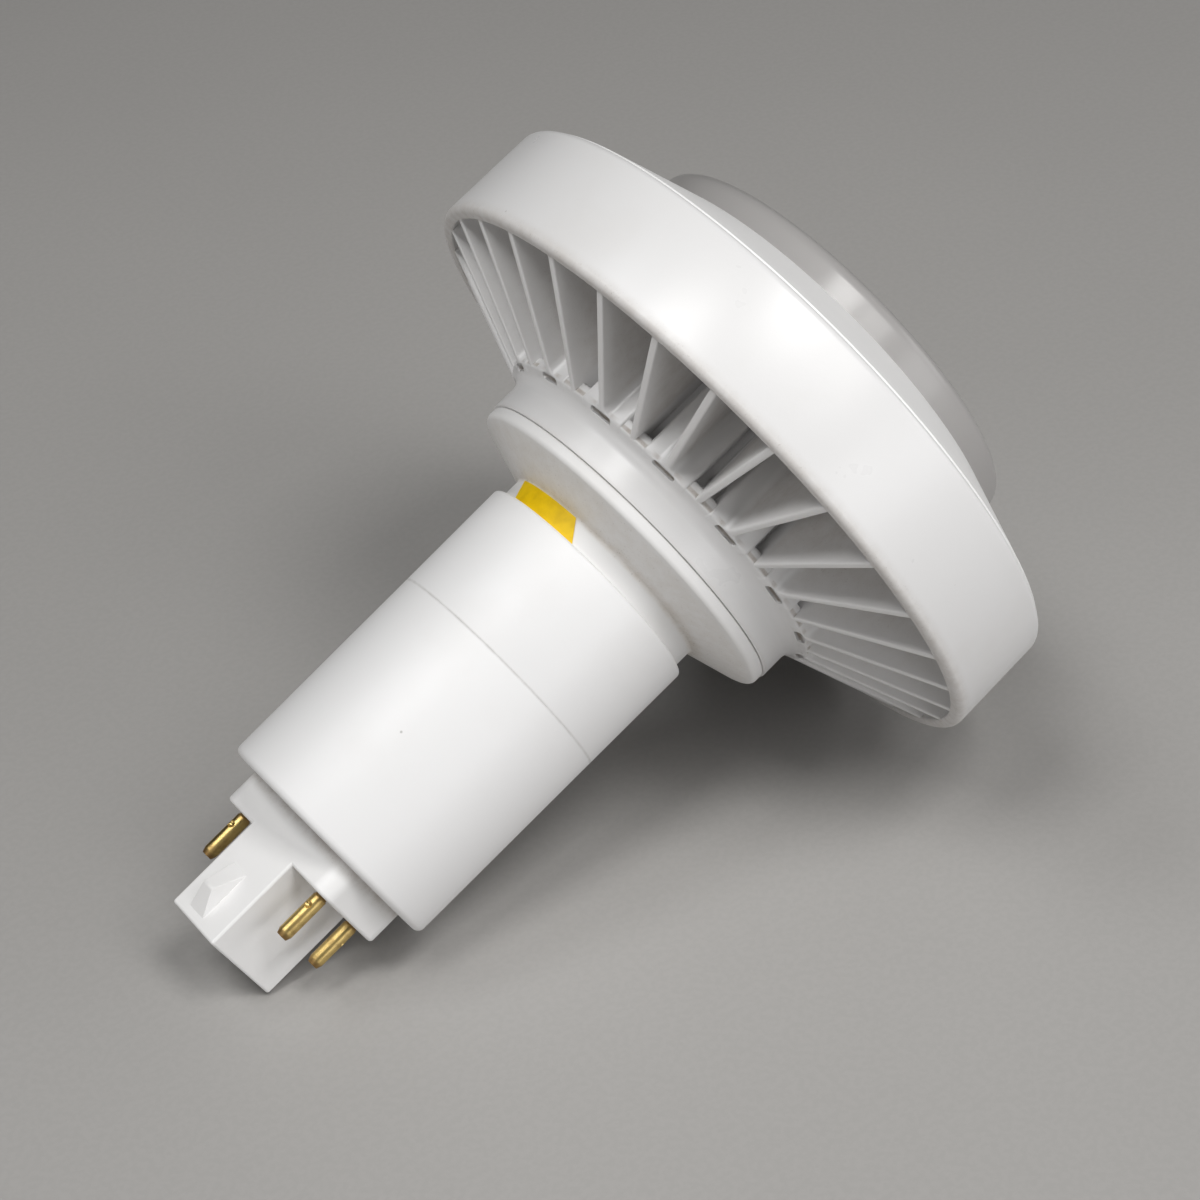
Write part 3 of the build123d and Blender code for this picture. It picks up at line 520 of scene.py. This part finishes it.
def white_plastic(name, base, roughness, smudge, dust=None):
    """A moulded white finish; dust, if given, makes a mask from the tree and the place, for dust
    and, on the heat sink, for painted shade too.
    """
    material, tree, shader, place = new_material(name)
    skin = node(
        tree,
        "Group",
        {
            "Place": place.outputs["Place"],
            "Base": (*base, 1),
            "Roughness": roughness,
            "Specks": 0.6,
            "Smudge": smudge,
        },
        node_tree=MOULDED,
    )
    colour, rough = skin.outputs["Color"], skin.outputs["Roughness"]
    if dust:
        mask, tint, grains = dust(tree, place)
        lying = node(
            tree,
            "Group",
            {
                "Place": place.outputs["Place"],
                "Mask": mask,
                "Color": colour,
                "Dust": (*tint, 1),
                "Grains": grains,
            },
            node_tree=DUST_AND_SHADE,
        )
        colour = lying.outputs["Color"]
        rough = maths(tree, "MULTIPLY_ADD", lying.outputs["Amount"], 0.45, rough, clamp=True)
    tree.links.new(colour, shader.inputs["Base Color"])
    tree.links.new(rough, shader.inputs["Roughness"])
    raise_bumps(tree, shader, skin.outputs["Height"], 0.02, 0.0004)
    return material


def band(tree, value, start, full, end_full, end):
    """1 between full and end_full, falling to 0 at start and end."""
    rise = span(tree, value, start, full)
    fall = span(tree, value, end_full, end, 1.0, 0.0)
    return maths(tree, "MULTIPLY", rise, fall)


def cap_dust(tree, place):
    """Dust against the housing's mouth and behind the pins."""
    mask = span(tree, place.outputs["Height"], HOUSING_Z - 2.4, HOUSING_Z + 0.1, 0.0, 0.55)
    return mask, DUST_AND_SHADE_BROWN, 0.5


def housing_dust(tree, place):
    """A thin dirty line at the seam."""
    height = place.outputs["Height"]
    near = band(tree, height, SEAM_Z - 0.35, SEAM_Z - 0.05, SEAM_Z + 0.05, SEAM_Z + 0.35)
    return maths(tree, "MULTIPLY", near, 0.35), (0.42, 0.40, 0.38), 0.7


def flange_dust(tree, place):
    """Beige dust over the cone, thinning out on the rim, and over the neck's root."""
    height, radius = place.outputs["Height"], place.outputs["Radius"]
    rim_z = FLANGE_Z + FLANGE_CONE_RISE
    cone = band(tree, height, FLANGE_Z - 0.9, FLANGE_Z + 0.1, rim_z - 0.7, rim_z + 0.3)
    root = span(tree, radius, NECK_RADIUS + 2.7, NECK_RADIUS + 0.2, 0.0, 0.35)
    both = maths(tree, "MULTIPLY_ADD", cone, 0.26, maths(tree, "MULTIPLY", cone, root), clamp=True)
    crevice = span(tree, height, HUB_Z - 0.4, HUB_Z, 0.0, 0.1)
    return maths(tree, "MAXIMUM", both, crevice), (0.58, 0.525, 0.45), 1.0


def sink_dust_and_shade(tree, place):
    """Dust in the dents at the hub's edge and on the ring's rear edge; deep between the fins, dust
    and painted shade that grow darker further in from the fins' rear edges.
    """
    height, radius = place.outputs["Height"], place.outputs["Radius"]
    deep = maths(tree, "MULTIPLY_ADD", radius, -FIN_SLOPE, height)
    deep = maths(tree, "SUBTRACT", deep, on_cone(0.0))
    dents = maths(tree, "MULTIPLY", span(tree, deep, 0.12, 0.4), span(tree, deep, 1.0, 0.7))
    floor, shelf = DENT_FLOOR_RADIUS, ROOT_RADIUS
    ledge = band(tree, radius, floor - 0.1, floor + 0.2, shelf - 0.1, shelf + 0.2)
    dents = maths(tree, "MULTIPLY", dents, ledge)
    inside = span(tree, radius, RING_BORE + 0.65, RING_BORE - 0.15)
    inside = maths(tree, "MULTIPLY", inside, span(tree, radius, shelf + 0.1, shelf + 1.2))
    # Between the fins: dust and painted shade, darker the deeper into the gaps towards the plate
    fins = maths(tree, "MULTIPLY", inside, span(tree, deep, 0.0, 6.0, 0.05, 0.30))
    edge = span(tree, height, RING_Z + 2.5, RING_Z)
    edge = maths(tree, "MULTIPLY", edge, span(tree, radius, RING_BORE - 0.35, RING_BORE + 0.25))
    crevice = span(tree, height, HUB_Z + 0.8, HUB_Z + 0.1)
    mask = maths(tree, "MAXIMUM", dents, fins)
    mask = maths(tree, "MAXIMUM", mask, maths(tree, "MULTIPLY", edge, 0.4))
    mask = maths(tree, "MAXIMUM", mask, maths(tree, "MULTIPLY", crevice, 0.1))
    return mask, DUST_AND_SHADE_BROWN, 0.8


def brass_material():
    """Polished brass that has browned at the tips and roots, with fine lines along the pins."""
    material, tree, shader, place = new_material("tarnished brass")
    stretch = node(tree, "Mapping", {"Vector": place.outputs["Place"], "Scale": (4.0, 4.0, 0.25)})
    patches = noise(tree, place.outputs["Place"], 0.7, 5.0)
    lines = noise(tree, stretch.outputs[0], 2.0, 3.0)
    tip = span(tree, place.outputs["Height"], PIN_TIP_Z + 1.4, PIN_TIP_Z + 0.3)
    root = span(tree, place.outputs["Height"], SHOULDER_Z - 1.5, SHOULDER_Z - 0.1, 0.0, 0.8)
    ends = maths(tree, "MAXIMUM", tip, root)
    mottled = maths(tree, "MULTIPLY", span(tree, patches.outputs["Fac"], 0.45, 0.7), 0.55)
    tarnish = maths(tree, "MAXIMUM", mottled, maths(tree, "MULTIPLY", ends, 0.85), clamp=True)
    colour = blend_colours(tree, tarnish, (0.66, 0.49, 0.19, 1), (0.26, 0.15, 0.06, 1))
    tree.links.new(colour, shader.inputs["Base Color"])
    rough = maths(tree, "MULTIPLY_ADD", tarnish, 0.2, 0.34)
    tree.links.new(rough, shader.inputs["Roughness"])
    shader.inputs["Metallic"].default_value = 1.0
    raise_bumps(tree, shader, lines.outputs["Fac"], 0.04, 0.0001)
    return material


def lens_material():
    """Clear plastic that has gone slightly grey and hazy."""
    material, tree, shader, place = new_material("hazy clear plastic")
    haze = noise(tree, place.outputs["Place"], 0.05, 4.0)
    rough = span(tree, haze.outputs["Fac"], 0.3, 0.7, 0.36, 0.46)
    tree.links.new(rough, shader.inputs["Roughness"])
    shader.inputs["Base Color"].default_value = (0.50, 0.485, 0.475, 1)
    shader.inputs["Transmission Weight"].default_value = 0.35
    shader.inputs["IOR"].default_value = 1.3
    shader.inputs["Coat Weight"].default_value = 0.6
    shader.inputs["Coat Roughness"].default_value = 0.2
    return material


def label_material():
    """Yellow film with faint creases."""
    material, tree, shader, place = new_material("yellow film")
    wear = noise(tree, place.outputs["Place"], 0.5, 6.0)
    worn = span(tree, wear.outputs["Fac"], 0.35, 0.75)
    colour = blend_colours(tree, worn, (0.86, 0.57, 0.002, 1), (0.72, 0.46, 0.002, 1))
    tree.links.new(colour, shader.inputs["Base Color"])
    shader.inputs["Roughness"].default_value = 0.5
    shader.inputs["Specular IOR Level"].default_value = 0.25
    raise_bumps(tree, shader, wear.outputs["Fac"], 0.1, 0.0003)
    return material


def plain_finish(name, base, roughness, metallic=0.0):
    """A simple inner finish with a mottled colour and gloss."""
    material, tree, shader, place = new_material(name)
    mottle = noise(tree, place.outputs["Place"], 0.6, 4.0)
    darker = tuple(c * 0.76 for c in base)
    colour = blend_colours(tree, mottle.outputs["Fac"], (*base, 1), (*darker, 1))
    tree.links.new(colour, shader.inputs["Base Color"])
    rough = span(tree, mottle.outputs["Fac"], 0.3, 0.7, roughness - 0.08, roughness + 0.08)
    tree.links.new(rough, shader.inputs["Roughness"])
    shader.inputs["Metallic"].default_value = metallic
    return material


# Cap


def make_cap():
    """Post, shoulders and the two wedges in one moulding, with a dimple round each pin."""
    cap = block(
        "cap",
        (-POST_HALF_WIDTH, -POST_HALF_DEPTH, 0),
        (POST_HALF_WIDTH, POST_HALF_DEPTH, SHOULDER_Z + 1),
    )
    rounded_edges(cap, 0.46, 4)
    shoulder = block(
        "shoulder",
        (-SHOULDER_HALF_WIDTH, -POST_HALF_DEPTH, SHOULDER_Z),
        (SHOULDER_HALF_WIDTH, POST_HALF_DEPTH, HOUSING_Z + 1),
    )
    bevelled(shoulder, lambda one, other: abs(one.z - other.z) > 1, SHOULDER_CORNER_RADIUS, 10)
    bevelled(shoulder, lambda one, other: max(one.z, other.z) < SHOULDER_Z + 0.01, 0.6, 4)
    cut(cap, shoulder, "UNION")
    for side in (1, -1):
        foot = POST_HALF_DEPTH + 0.01
        left, right = WEDGE_OFFSET - WEDGE_WIDTH / 2, WEDGE_OFFSET + WEDGE_WIDTH / 2
        end_z = WEDGE_START + WEDGE_LENGTH
        wedge = block("wedge", (left, foot - 0.71, WEDGE_START), (right, foot, end_z))
        select_in(wedge, "faces", lambda middle, normal: normal.y > 0.9)
        rise = (0, (WEDGE_HEIGHT - 0.01) * MM, 0)
        bpy.ops.mesh.extrude_region_move(TRANSFORM_OT_translate={"value": rise})
        bpy.ops.transform.resize(value=(0.66, 1, 0.045))
        bpy.ops.transform.translate(value=(0, 0, -0.35 * MM))
        bpy.ops.object.mode_set(mode="OBJECT")
        rounded_edges(wedge, 0.12, 2, 12)
        if side < 0:
            wedge.data.transform(Matrix.Rotation(math.pi, 4, "Z"))
        cut(cap, wedge, "UNION")
    for x, y in PIN_PLACES:
        deselect()
        bpy.ops.mesh.primitive_cylinder_add(
            vertices=48,
            radius=PIN_DIMPLE_RADIUS * MM,
            depth=2 * PIN_DIMPLE_DEPTH * MM,
            location=(x * MM, y * MM, SHOULDER_Z * MM),
        )
        cut(cap, bpy.context.object)
    return cap


# Pins


def make_pin(x, y, dent_angle, dent_height):
    """A round pin with a chamfered tip, a neck at its root and a crimp dent."""
    pin = turned(
        "pin",
        [
            (AXIS_HOLE, PIN_TIP_Z + 0.2),
            (0.62, PIN_TIP_Z),
            (0.86, PIN_TIP_Z, 0.08),
            (PIN_RADIUS, PIN_TIP_Z + 0.85, 0.25),
            (PIN_RADIUS, SHOULDER_Z - 0.45, 0.1),
            (PIN_ROOT_RADIUS, SHOULDER_Z - 0.2),
            (PIN_ROOT_RADIUS, SHOULDER_Z + 1.4),
            (AXIS_HOLE, SHOULDER_Z + 1.4),
        ],
        steps=64,
    )
    deselect()
    outward = Matrix.Rotation(math.radians(dent_angle), 3, "Z") @ Vector((1, 0, 0))
    bpy.ops.mesh.primitive_uv_sphere_add(
        segments=32,
        ring_count=20,
        radius=0.8 * MM,
        location=(outward * 1.55 + Vector((0, 0, dent_height))) * MM,
    )
    dent = bpy.context.object
    dent.scale = (1, 1, 0.85)
    bpy.ops.object.transform_apply()
    cut(pin, dent)
    pin.data.transform(Matrix.Translation((x * MM, y * MM, 0)))
    return pin


# Heat sink


def make_dent():
    """A soft block that cuts a dent between hub and fin."""
    low = (DENT_FLOOR_RADIUS, -DENT_HALF_WIDTH, FIN_ROOT_Z - 2.0)
    high = (DENT_FLOOR_RADIUS + 2.0, DENT_HALF_WIDTH, on_cone(ROOT_RADIUS) + 0.08)
    dent = block("dent", low, high)
    rounded_edges(dent, 0.45, 4)
    return dent


def make_fin(rooted):
    """One drafted fin with a sloped rear edge, on a wide root with soft corners where rooted."""
    low, high = FIN_ROOT_Z - 1.0, PLATE_BACK_Z + 0.5
    inner, outer = FIN_INNER_RADIUS, FIN_OUTER_RADIUS
    fin = block("fin", (inner, -FIN_EDGE / 2, low), (outer, FIN_EDGE / 2, high))
    select_in(fin, "faces", lambda middle, normal: normal.z > 0.9)
    bpy.ops.transform.resize(value=(1, 1.4, 1))
    bpy.ops.object.mode_set(mode="OBJECT")
    if rooted:
        root = block("root", (inner, -ROOT_HALF_WIDTH, low), (ROOT_RADIUS, ROOT_HALF_WIDTH, high))
        cut(fin, root, "UNION")

        def along(one, other, side_low, side_high):
            level = abs(one.x - ROOT_RADIUS) < 0.01 and abs(other.x - ROOT_RADIUS) < 0.01
            return level and abs(one.z - other.z) > 1 and side_low < abs(one.y) < side_high

        bevelled(fin, lambda one, other: along(one, other, 0.3, 1.2), 1.3, 5)
        corner = ROOT_HALF_WIDTH
        bevelled(fin, lambda one, other: along(one, other, corner - 0.1, corner + 0.1), 0.45, 3)
    outward = Vector((FIN_SLOPE, 0, -1)).normalized()
    rear = Vector((HUB_RADIUS, 0, on_cone(HUB_RADIUS) + 0.04))
    trim(fin, rear, outward)

    def on_rear(one, other):
        return all(abs((end - rear).dot(outward)) < 0.01 for end in (one, other))

    bevelled(fin, on_rear, 0.34, 3)
    if rooted:
        cut(fin, make_dent())
    return fin


def make_heat_sink():
    """Hub, shelf, plate and ring turned as one, dented, with roots and drafted fins."""
    sink = turned(
        "finned_sink",
        [
            (HUB_BORE, HUB_Z),
            (HUB_RADIUS, HUB_Z, 0.1),
            (HUB_RADIUS, FIN_ROOT_Z, 2.4),
            (ROOT_RADIUS, on_cone(ROOT_RADIUS), 0.35),
            (ROOT_RADIUS, SHELF_FRONT_Z, 0.5),
            (HUB_RADIUS, SHELF_FRONT_Z + 0.6),
            (HUB_RADIUS, PLATE_BACK_Z, 1.5),
            (RING_BORE, PLATE_BACK_Z, 1.0),
            (RING_BORE, RING_Z, 0.35),
            (RING_RADIUS, RING_Z, 1.0),
            (RING_FRONT_RADIUS, RING_FRONT_Z, 1.1),
            (RING_BORE, RING_FRONT_Z, 0.3),
            (RING_BORE, PLATE_Z),
            (PLATE_HOLE_RADIUS, PLATE_Z),
            (PLATE_HOLE_RADIUS, PLATE_BACK_Z),
            (HUB_BORE, PLATE_BACK_Z),
        ],
    )
    cut(sink, copied_round(make_dent(), ROOT_COUNT, FIN_PHASE))
    pitch = 360 / ROOT_COUNT
    rooted = copied_round(make_fin(True), ROOT_COUNT, FIN_PHASE)
    plain = copied_round(make_fin(False), ROOT_COUNT, FIN_PHASE + pitch / 2)
    return join([sink, rooted, plain])


# Label


def make_label():
    """A thin strip round the neck with slanted ends."""
    inside, outside = NECK_RADIUS + LABEL_IN, NECK_RADIUS + LABEL_OUT
    label = turned(
        "label",
        [
            (inside, LABEL_BOTTOM_Z),
            (outside, LABEL_BOTTOM_Z),
            (outside, LABEL_TOP_Z),
            (inside, LABEL_TOP_Z),
        ],
    )
    radius = NECK_RADIUS + 0.1
    for low_turn, high_turn, side in LABEL_ENDS:
        low = Vector((radius, 0, HOUSING_TOP_Z))
        high = Vector((radius, 0, LABEL_TOP_Z - 0.05))
        low = Matrix.Rotation(math.radians(low_turn), 3, "Z") @ low
        high = Matrix.Rotation(math.radians(high_turn), 3, "Z") @ high
        plane = (high - low).cross(Vector((0, 0, low.z)) - low)
        trim(label, low, plane if plane.x * side > 0 else -plane)
    return label


# Each piece, dressed and laid down
white_housing = white_plastic("white housing", (0.80, 0.797, 0.797), 0.42, 0.04, housing_dust)
white_cap = white_plastic("white cap", (0.83, 0.825, 0.82), 0.46, 0.08, cap_dust)
white_flange = white_plastic("dusty flange", (0.80, 0.795, 0.79), 0.45, 0.1, flange_dust)
white_sink = white_plastic("coated heat sink", (0.74, 0.735, 0.733), 0.30, 0.06, sink_dust_and_shade)
white_bezel = white_plastic("white bezel", (0.83, 0.826, 0.82), 0.40, 0.04)
brass = brass_material()
clear = lens_material()
yellow = label_material()

cap = finished(make_cap(), white_cap, "cap_plastic", "cap_body")
apply_modifier(cap, "WEIGHTED_NORMAL", keep_sharp=True)
for number, (pin_place, pin_dent) in enumerate(zip(PIN_PLACES, PIN_DENTS), start=1):
    pin = make_pin(*pin_place, *pin_dent)
    pin.name = f"pin_{number}"
    finished(pin, brass, "pin_brass", f"contact_pin_{number}")

lower = turned(
    "lower_sleeve",
    [
        (FLOOR_HOLE_RADIUS, HOUSING_Z),
        (HOUSING_BOTTOM_RADIUS, HOUSING_Z, 1.2),
        (HOUSING_SEAM_RADIUS, SEAM_Z, 0.03),
        (LAP_RADIUS + LAP_GAP, SEAM_Z),
        (LOWER_BORE, HOUSING_Z + HOUSING_FLOOR),
        (FLOOR_HOLE_RADIUS, HOUSING_Z + HOUSING_FLOOR),
    ],
)
finished(lower, white_housing, "housing_plastic", "lower_housing")
upper = turned(
    "upper_sleeve",
    [
        (LAP_BORE, SEAM_Z - LAP_LENGTH),
        (LAP_RADIUS, SEAM_Z - LAP_LENGTH),
        (LAP_RADIUS, SEAM_Z + SEAM_GAP),
        (HOUSING_SEAM_RADIUS, SEAM_Z + SEAM_GAP, 0.03),
        (HOUSING_TOP_RADIUS, HOUSING_TOP_Z, 0.6),
        (UPPER_BORE, HOUSING_TOP_Z, 0.15),
        (UPPER_BORE, NECK_BOTTOM_Z),
        (LAP_BORE, NECK_BOTTOM_Z),
    ],
)
finished(upper, white_housing, "housing_plastic", "upper_housing")
flange = turned(
    "flange",
    [
        (NECK_BORE, NECK_BOTTOM_Z),
        (NECK_RADIUS, NECK_BOTTOM_Z),
        (NECK_RADIUS, FLANGE_Z, 0.5),
        (FLANGE_RADIUS, FLANGE_Z + FLANGE_CONE_RISE, 0.9),
        (FLANGE_RADIUS, HUB_Z, 0.45),
        (WIRE_HOLE_RADIUS, HUB_Z),
        (WIRE_HOLE_RADIUS, HUB_Z - FLANGE_PLATE),
        (NECK_BORE, HUB_Z - FLANGE_PLATE),
    ],
)
finished(flange, white_flange, "flange_plastic", "neck_flange")
finished(make_heat_sink(), white_sink, "coated_aluminium", "heat_sink")
bezel = turned(
    "bezel",
    [
        (BEZEL_BORE, LENS_FLANGE_Z + 0.1),
        (BEZEL_CREST, LENS_FLANGE_Z + 0.1),
        (BEZEL_CREST, BEZEL_Z - 2.0),
        (BEZEL_SKIRT - BEZEL_WALL, RING_FRONT_Z - 1.8),
        (BEZEL_SKIRT - BEZEL_WALL, PLATE_Z + 0.05),
        (BEZEL_SKIRT, PLATE_Z + 0.05),
        (BEZEL_SKIRT, RING_FRONT_Z + 0.05),
        (BEZEL_LIP, RING_FRONT_Z + 0.05),
        (BEZEL_LIP, RING_FRONT_Z + 0.35, 0.1),
        (BEZEL_CREST, BEZEL_Z, 0.8),
        (BEZEL_BORE, BEZEL_Z, 0.3),
    ],
)
finished(bezel, white_bezel, "bezel_plastic", "front_bezel")
dome = [
    (20.0, LENS_RIM_Z + LENS_DOME - 0.45),
    (10.0, LENS_RIM_Z + LENS_DOME - 0.1),
    (AXIS_HOLE, LENS_RIM_Z + LENS_DOME),
]
lens = turned(
    "lens_cup",
    [
        (LENS_BORE, LENS_Z),
        (LENS_FLANGE_RADIUS, LENS_Z),
        (LENS_FLANGE_RADIUS, LENS_FLANGE_Z),
        (LENS_RADIUS, LENS_FLANGE_Z, 0.3),
        (LENS_RADIUS, LENS_RIM_Z + 0.03, 2.2),
        *dome,
        *((radius, height - LENS_WALL) for radius, height in reversed(dome)),
        (LENS_BORE, LENS_RIM_Z - 1.6, 1.0),
    ],
)
finished(lens, clear, "lens_plastic", "lens", smooth=60)
finished(make_label(), yellow, "label_yellow", "yellow_label")

# Inner pieces keep their solids and get their own finishes
INNER = {
    plain_finish("silicone seal", (0.72, 0.72, 0.70), 0.6): ["lens_seal"],
    plain_finish("grey thermal pad", (0.32, 0.32, 0.33), 0.7): ["thermal_pad"],
    plain_finish("white board", (0.78, 0.78, 0.75), 0.35): ["led_board"],
    plain_finish("yellow phosphor", (0.82, 0.62, 0.10), 0.5): ["led_chips"],
    plain_finish("ivory nylon", (0.80, 0.77, 0.68), 0.45): ["wire_connector"],
    plain_finish("plated steel", (0.55, 0.55, 0.56), 0.3, 1.0): ["flange_screws", "board_screws"],
    plain_finish("green board", (0.03, 0.16, 0.06), 0.35): ["driver_board"],
    plain_finish("dark ferrite", (0.05, 0.048, 0.046), 0.55): ["transformer", "line_inductor"],
    plain_finish("brown resin", (0.30, 0.06, 0.025), 0.3): ["film_capacitor"],
    plain_finish("black sleeve", (0.02, 0.02, 0.024), 0.4): [
        "rectifier",
        "electrolytic_capacitor_1",
        "electrolytic_capacitor_2",
    ],
    plain_finish("red insulation", (0.55, 0.03, 0.02), 0.4): ["input_wires", "output_wires"],
}
for finish, names in INNER.items():
    for name in names:
        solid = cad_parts[name]
        solid.data.materials.clear()
        solid.data.materials.append(finish)

# Floor, lights and camera
deselect()
bpy.ops.mesh.primitive_plane_add(size=6.0, location=(0, 0, 0))
floor = bpy.context.object
floor.name = "floor"
floor_finish = bpy.data.materials.new("grey table")
floor_finish.use_nodes = True
tree = floor_finish.node_tree
shader = tree.nodes["Principled BSDF"]
where = node(tree, "TexCoord")
cloudy = noise(tree, where.outputs["Object"], 7.0, 4.0)
speckle = noise(tree, where.outputs["Object"], 900.0, 2.0)
tone = blend_colours(
    tree, cloudy.outputs["Fac"], (0.372, 0.362, 0.350, 1), (0.405, 0.394, 0.381, 1)
)
flecks = span(tree, speckle.outputs["Fac"], 0.35, 0.65, 0.0, 0.10)
tone = blend_colours(tree, flecks, tone, (0.25, 0.245, 0.235, 1))
tree.links.new(tone, shader.inputs["Base Color"])
shader.inputs["Roughness"].default_value = 0.55
floor.data.materials.append(floor_finish)


def area_light(name, place, width, height, power, colour):
    """Add a soft rectangular light that looks at the lamp."""
    data = bpy.data.lights.new(name, "AREA")
    data.shape = "RECTANGLE"
    data.size, data.size_y = width, height
    data.energy = power
    data.color = colour
    light = bpy.data.objects.new(name, data)
    bpy.context.scene.collection.objects.link(light)
    light.location = place
    light.rotation_mode = "QUATERNION"
    light.rotation_quaternion = (LIGHT_TARGET - Vector(place)).to_track_quat("-Z", "Y")


# Metres and watts; three small lights and a cooler one from above, three wide ones low down
LIGHT_TARGET = Vector((0, 0, 0.04))
WARM, COOL = (1.0, 0.995, 0.985), (0.99, 0.99, 1.0)
area_light("upper left", (-0.36, -0.13, 1.05), 0.3, 0.3, 3.8, WARM)
area_light("upper front", (0.1, -0.5, 1.0), 0.3, 0.3, 3.8, WARM)
area_light("front", (0.16, -0.8, 0.8), 0.3, 0.3, 1.7, WARM)
area_light("upper back", (-0.4, 0.28, 1.0), 0.3, 0.3, 1.8, (0.98, 0.99, 1.0))
area_light("low front", (0.25, -1.2, 0.3), 0.9, 0.5, 4.0, COOL)
area_light("low left", (-1.1, -0.1, 0.25), 0.9, 0.5, 2.6, (1.0, 0.99, 0.98))
area_light("low right", (1.0, -0.7, 0.35), 0.9, 0.5, 3.0, COOL)

world = bpy.data.worlds.new("room")
bpy.context.scene.world = world
world.use_nodes = True
background = world.node_tree.nodes["Background"]
background.inputs["Color"].default_value = (0.93, 0.95, 1.0, 1)
background.inputs["Strength"].default_value = 0.01

# The camera's place and turn in the lamp's frame, from the photograph's perspective
CAMERA_PLACE = Vector((-276.802, 299.009, 25.115)) * MM
CAMERA_RIGHT = Vector((-0.581594, -0.409747, 0.702748))
CAMERA_UP = Vector((0.463902, 0.542583, 0.700285))
CAMERA_BACK = Vector((-0.668239, 0.733288, -0.125481))
camera_data = bpy.data.cameras.new("camera")
camera_data.sensor_width = 36.0
camera_data.lens = 81.374
camera_data.clip_start, camera_data.clip_end = 0.01, 20.0
camera = bpy.data.objects.new("camera", camera_data)
bpy.context.scene.collection.objects.link(camera)
turn = Matrix((CAMERA_RIGHT, CAMERA_UP, CAMERA_BACK)).transposed().to_4x4()
camera.matrix_world = LYING @ Matrix.Translation(CAMERA_PLACE) @ turn
bpy.context.scene.camera = camera
bpy.context.scene.view_settings.view_transform = "Standard"
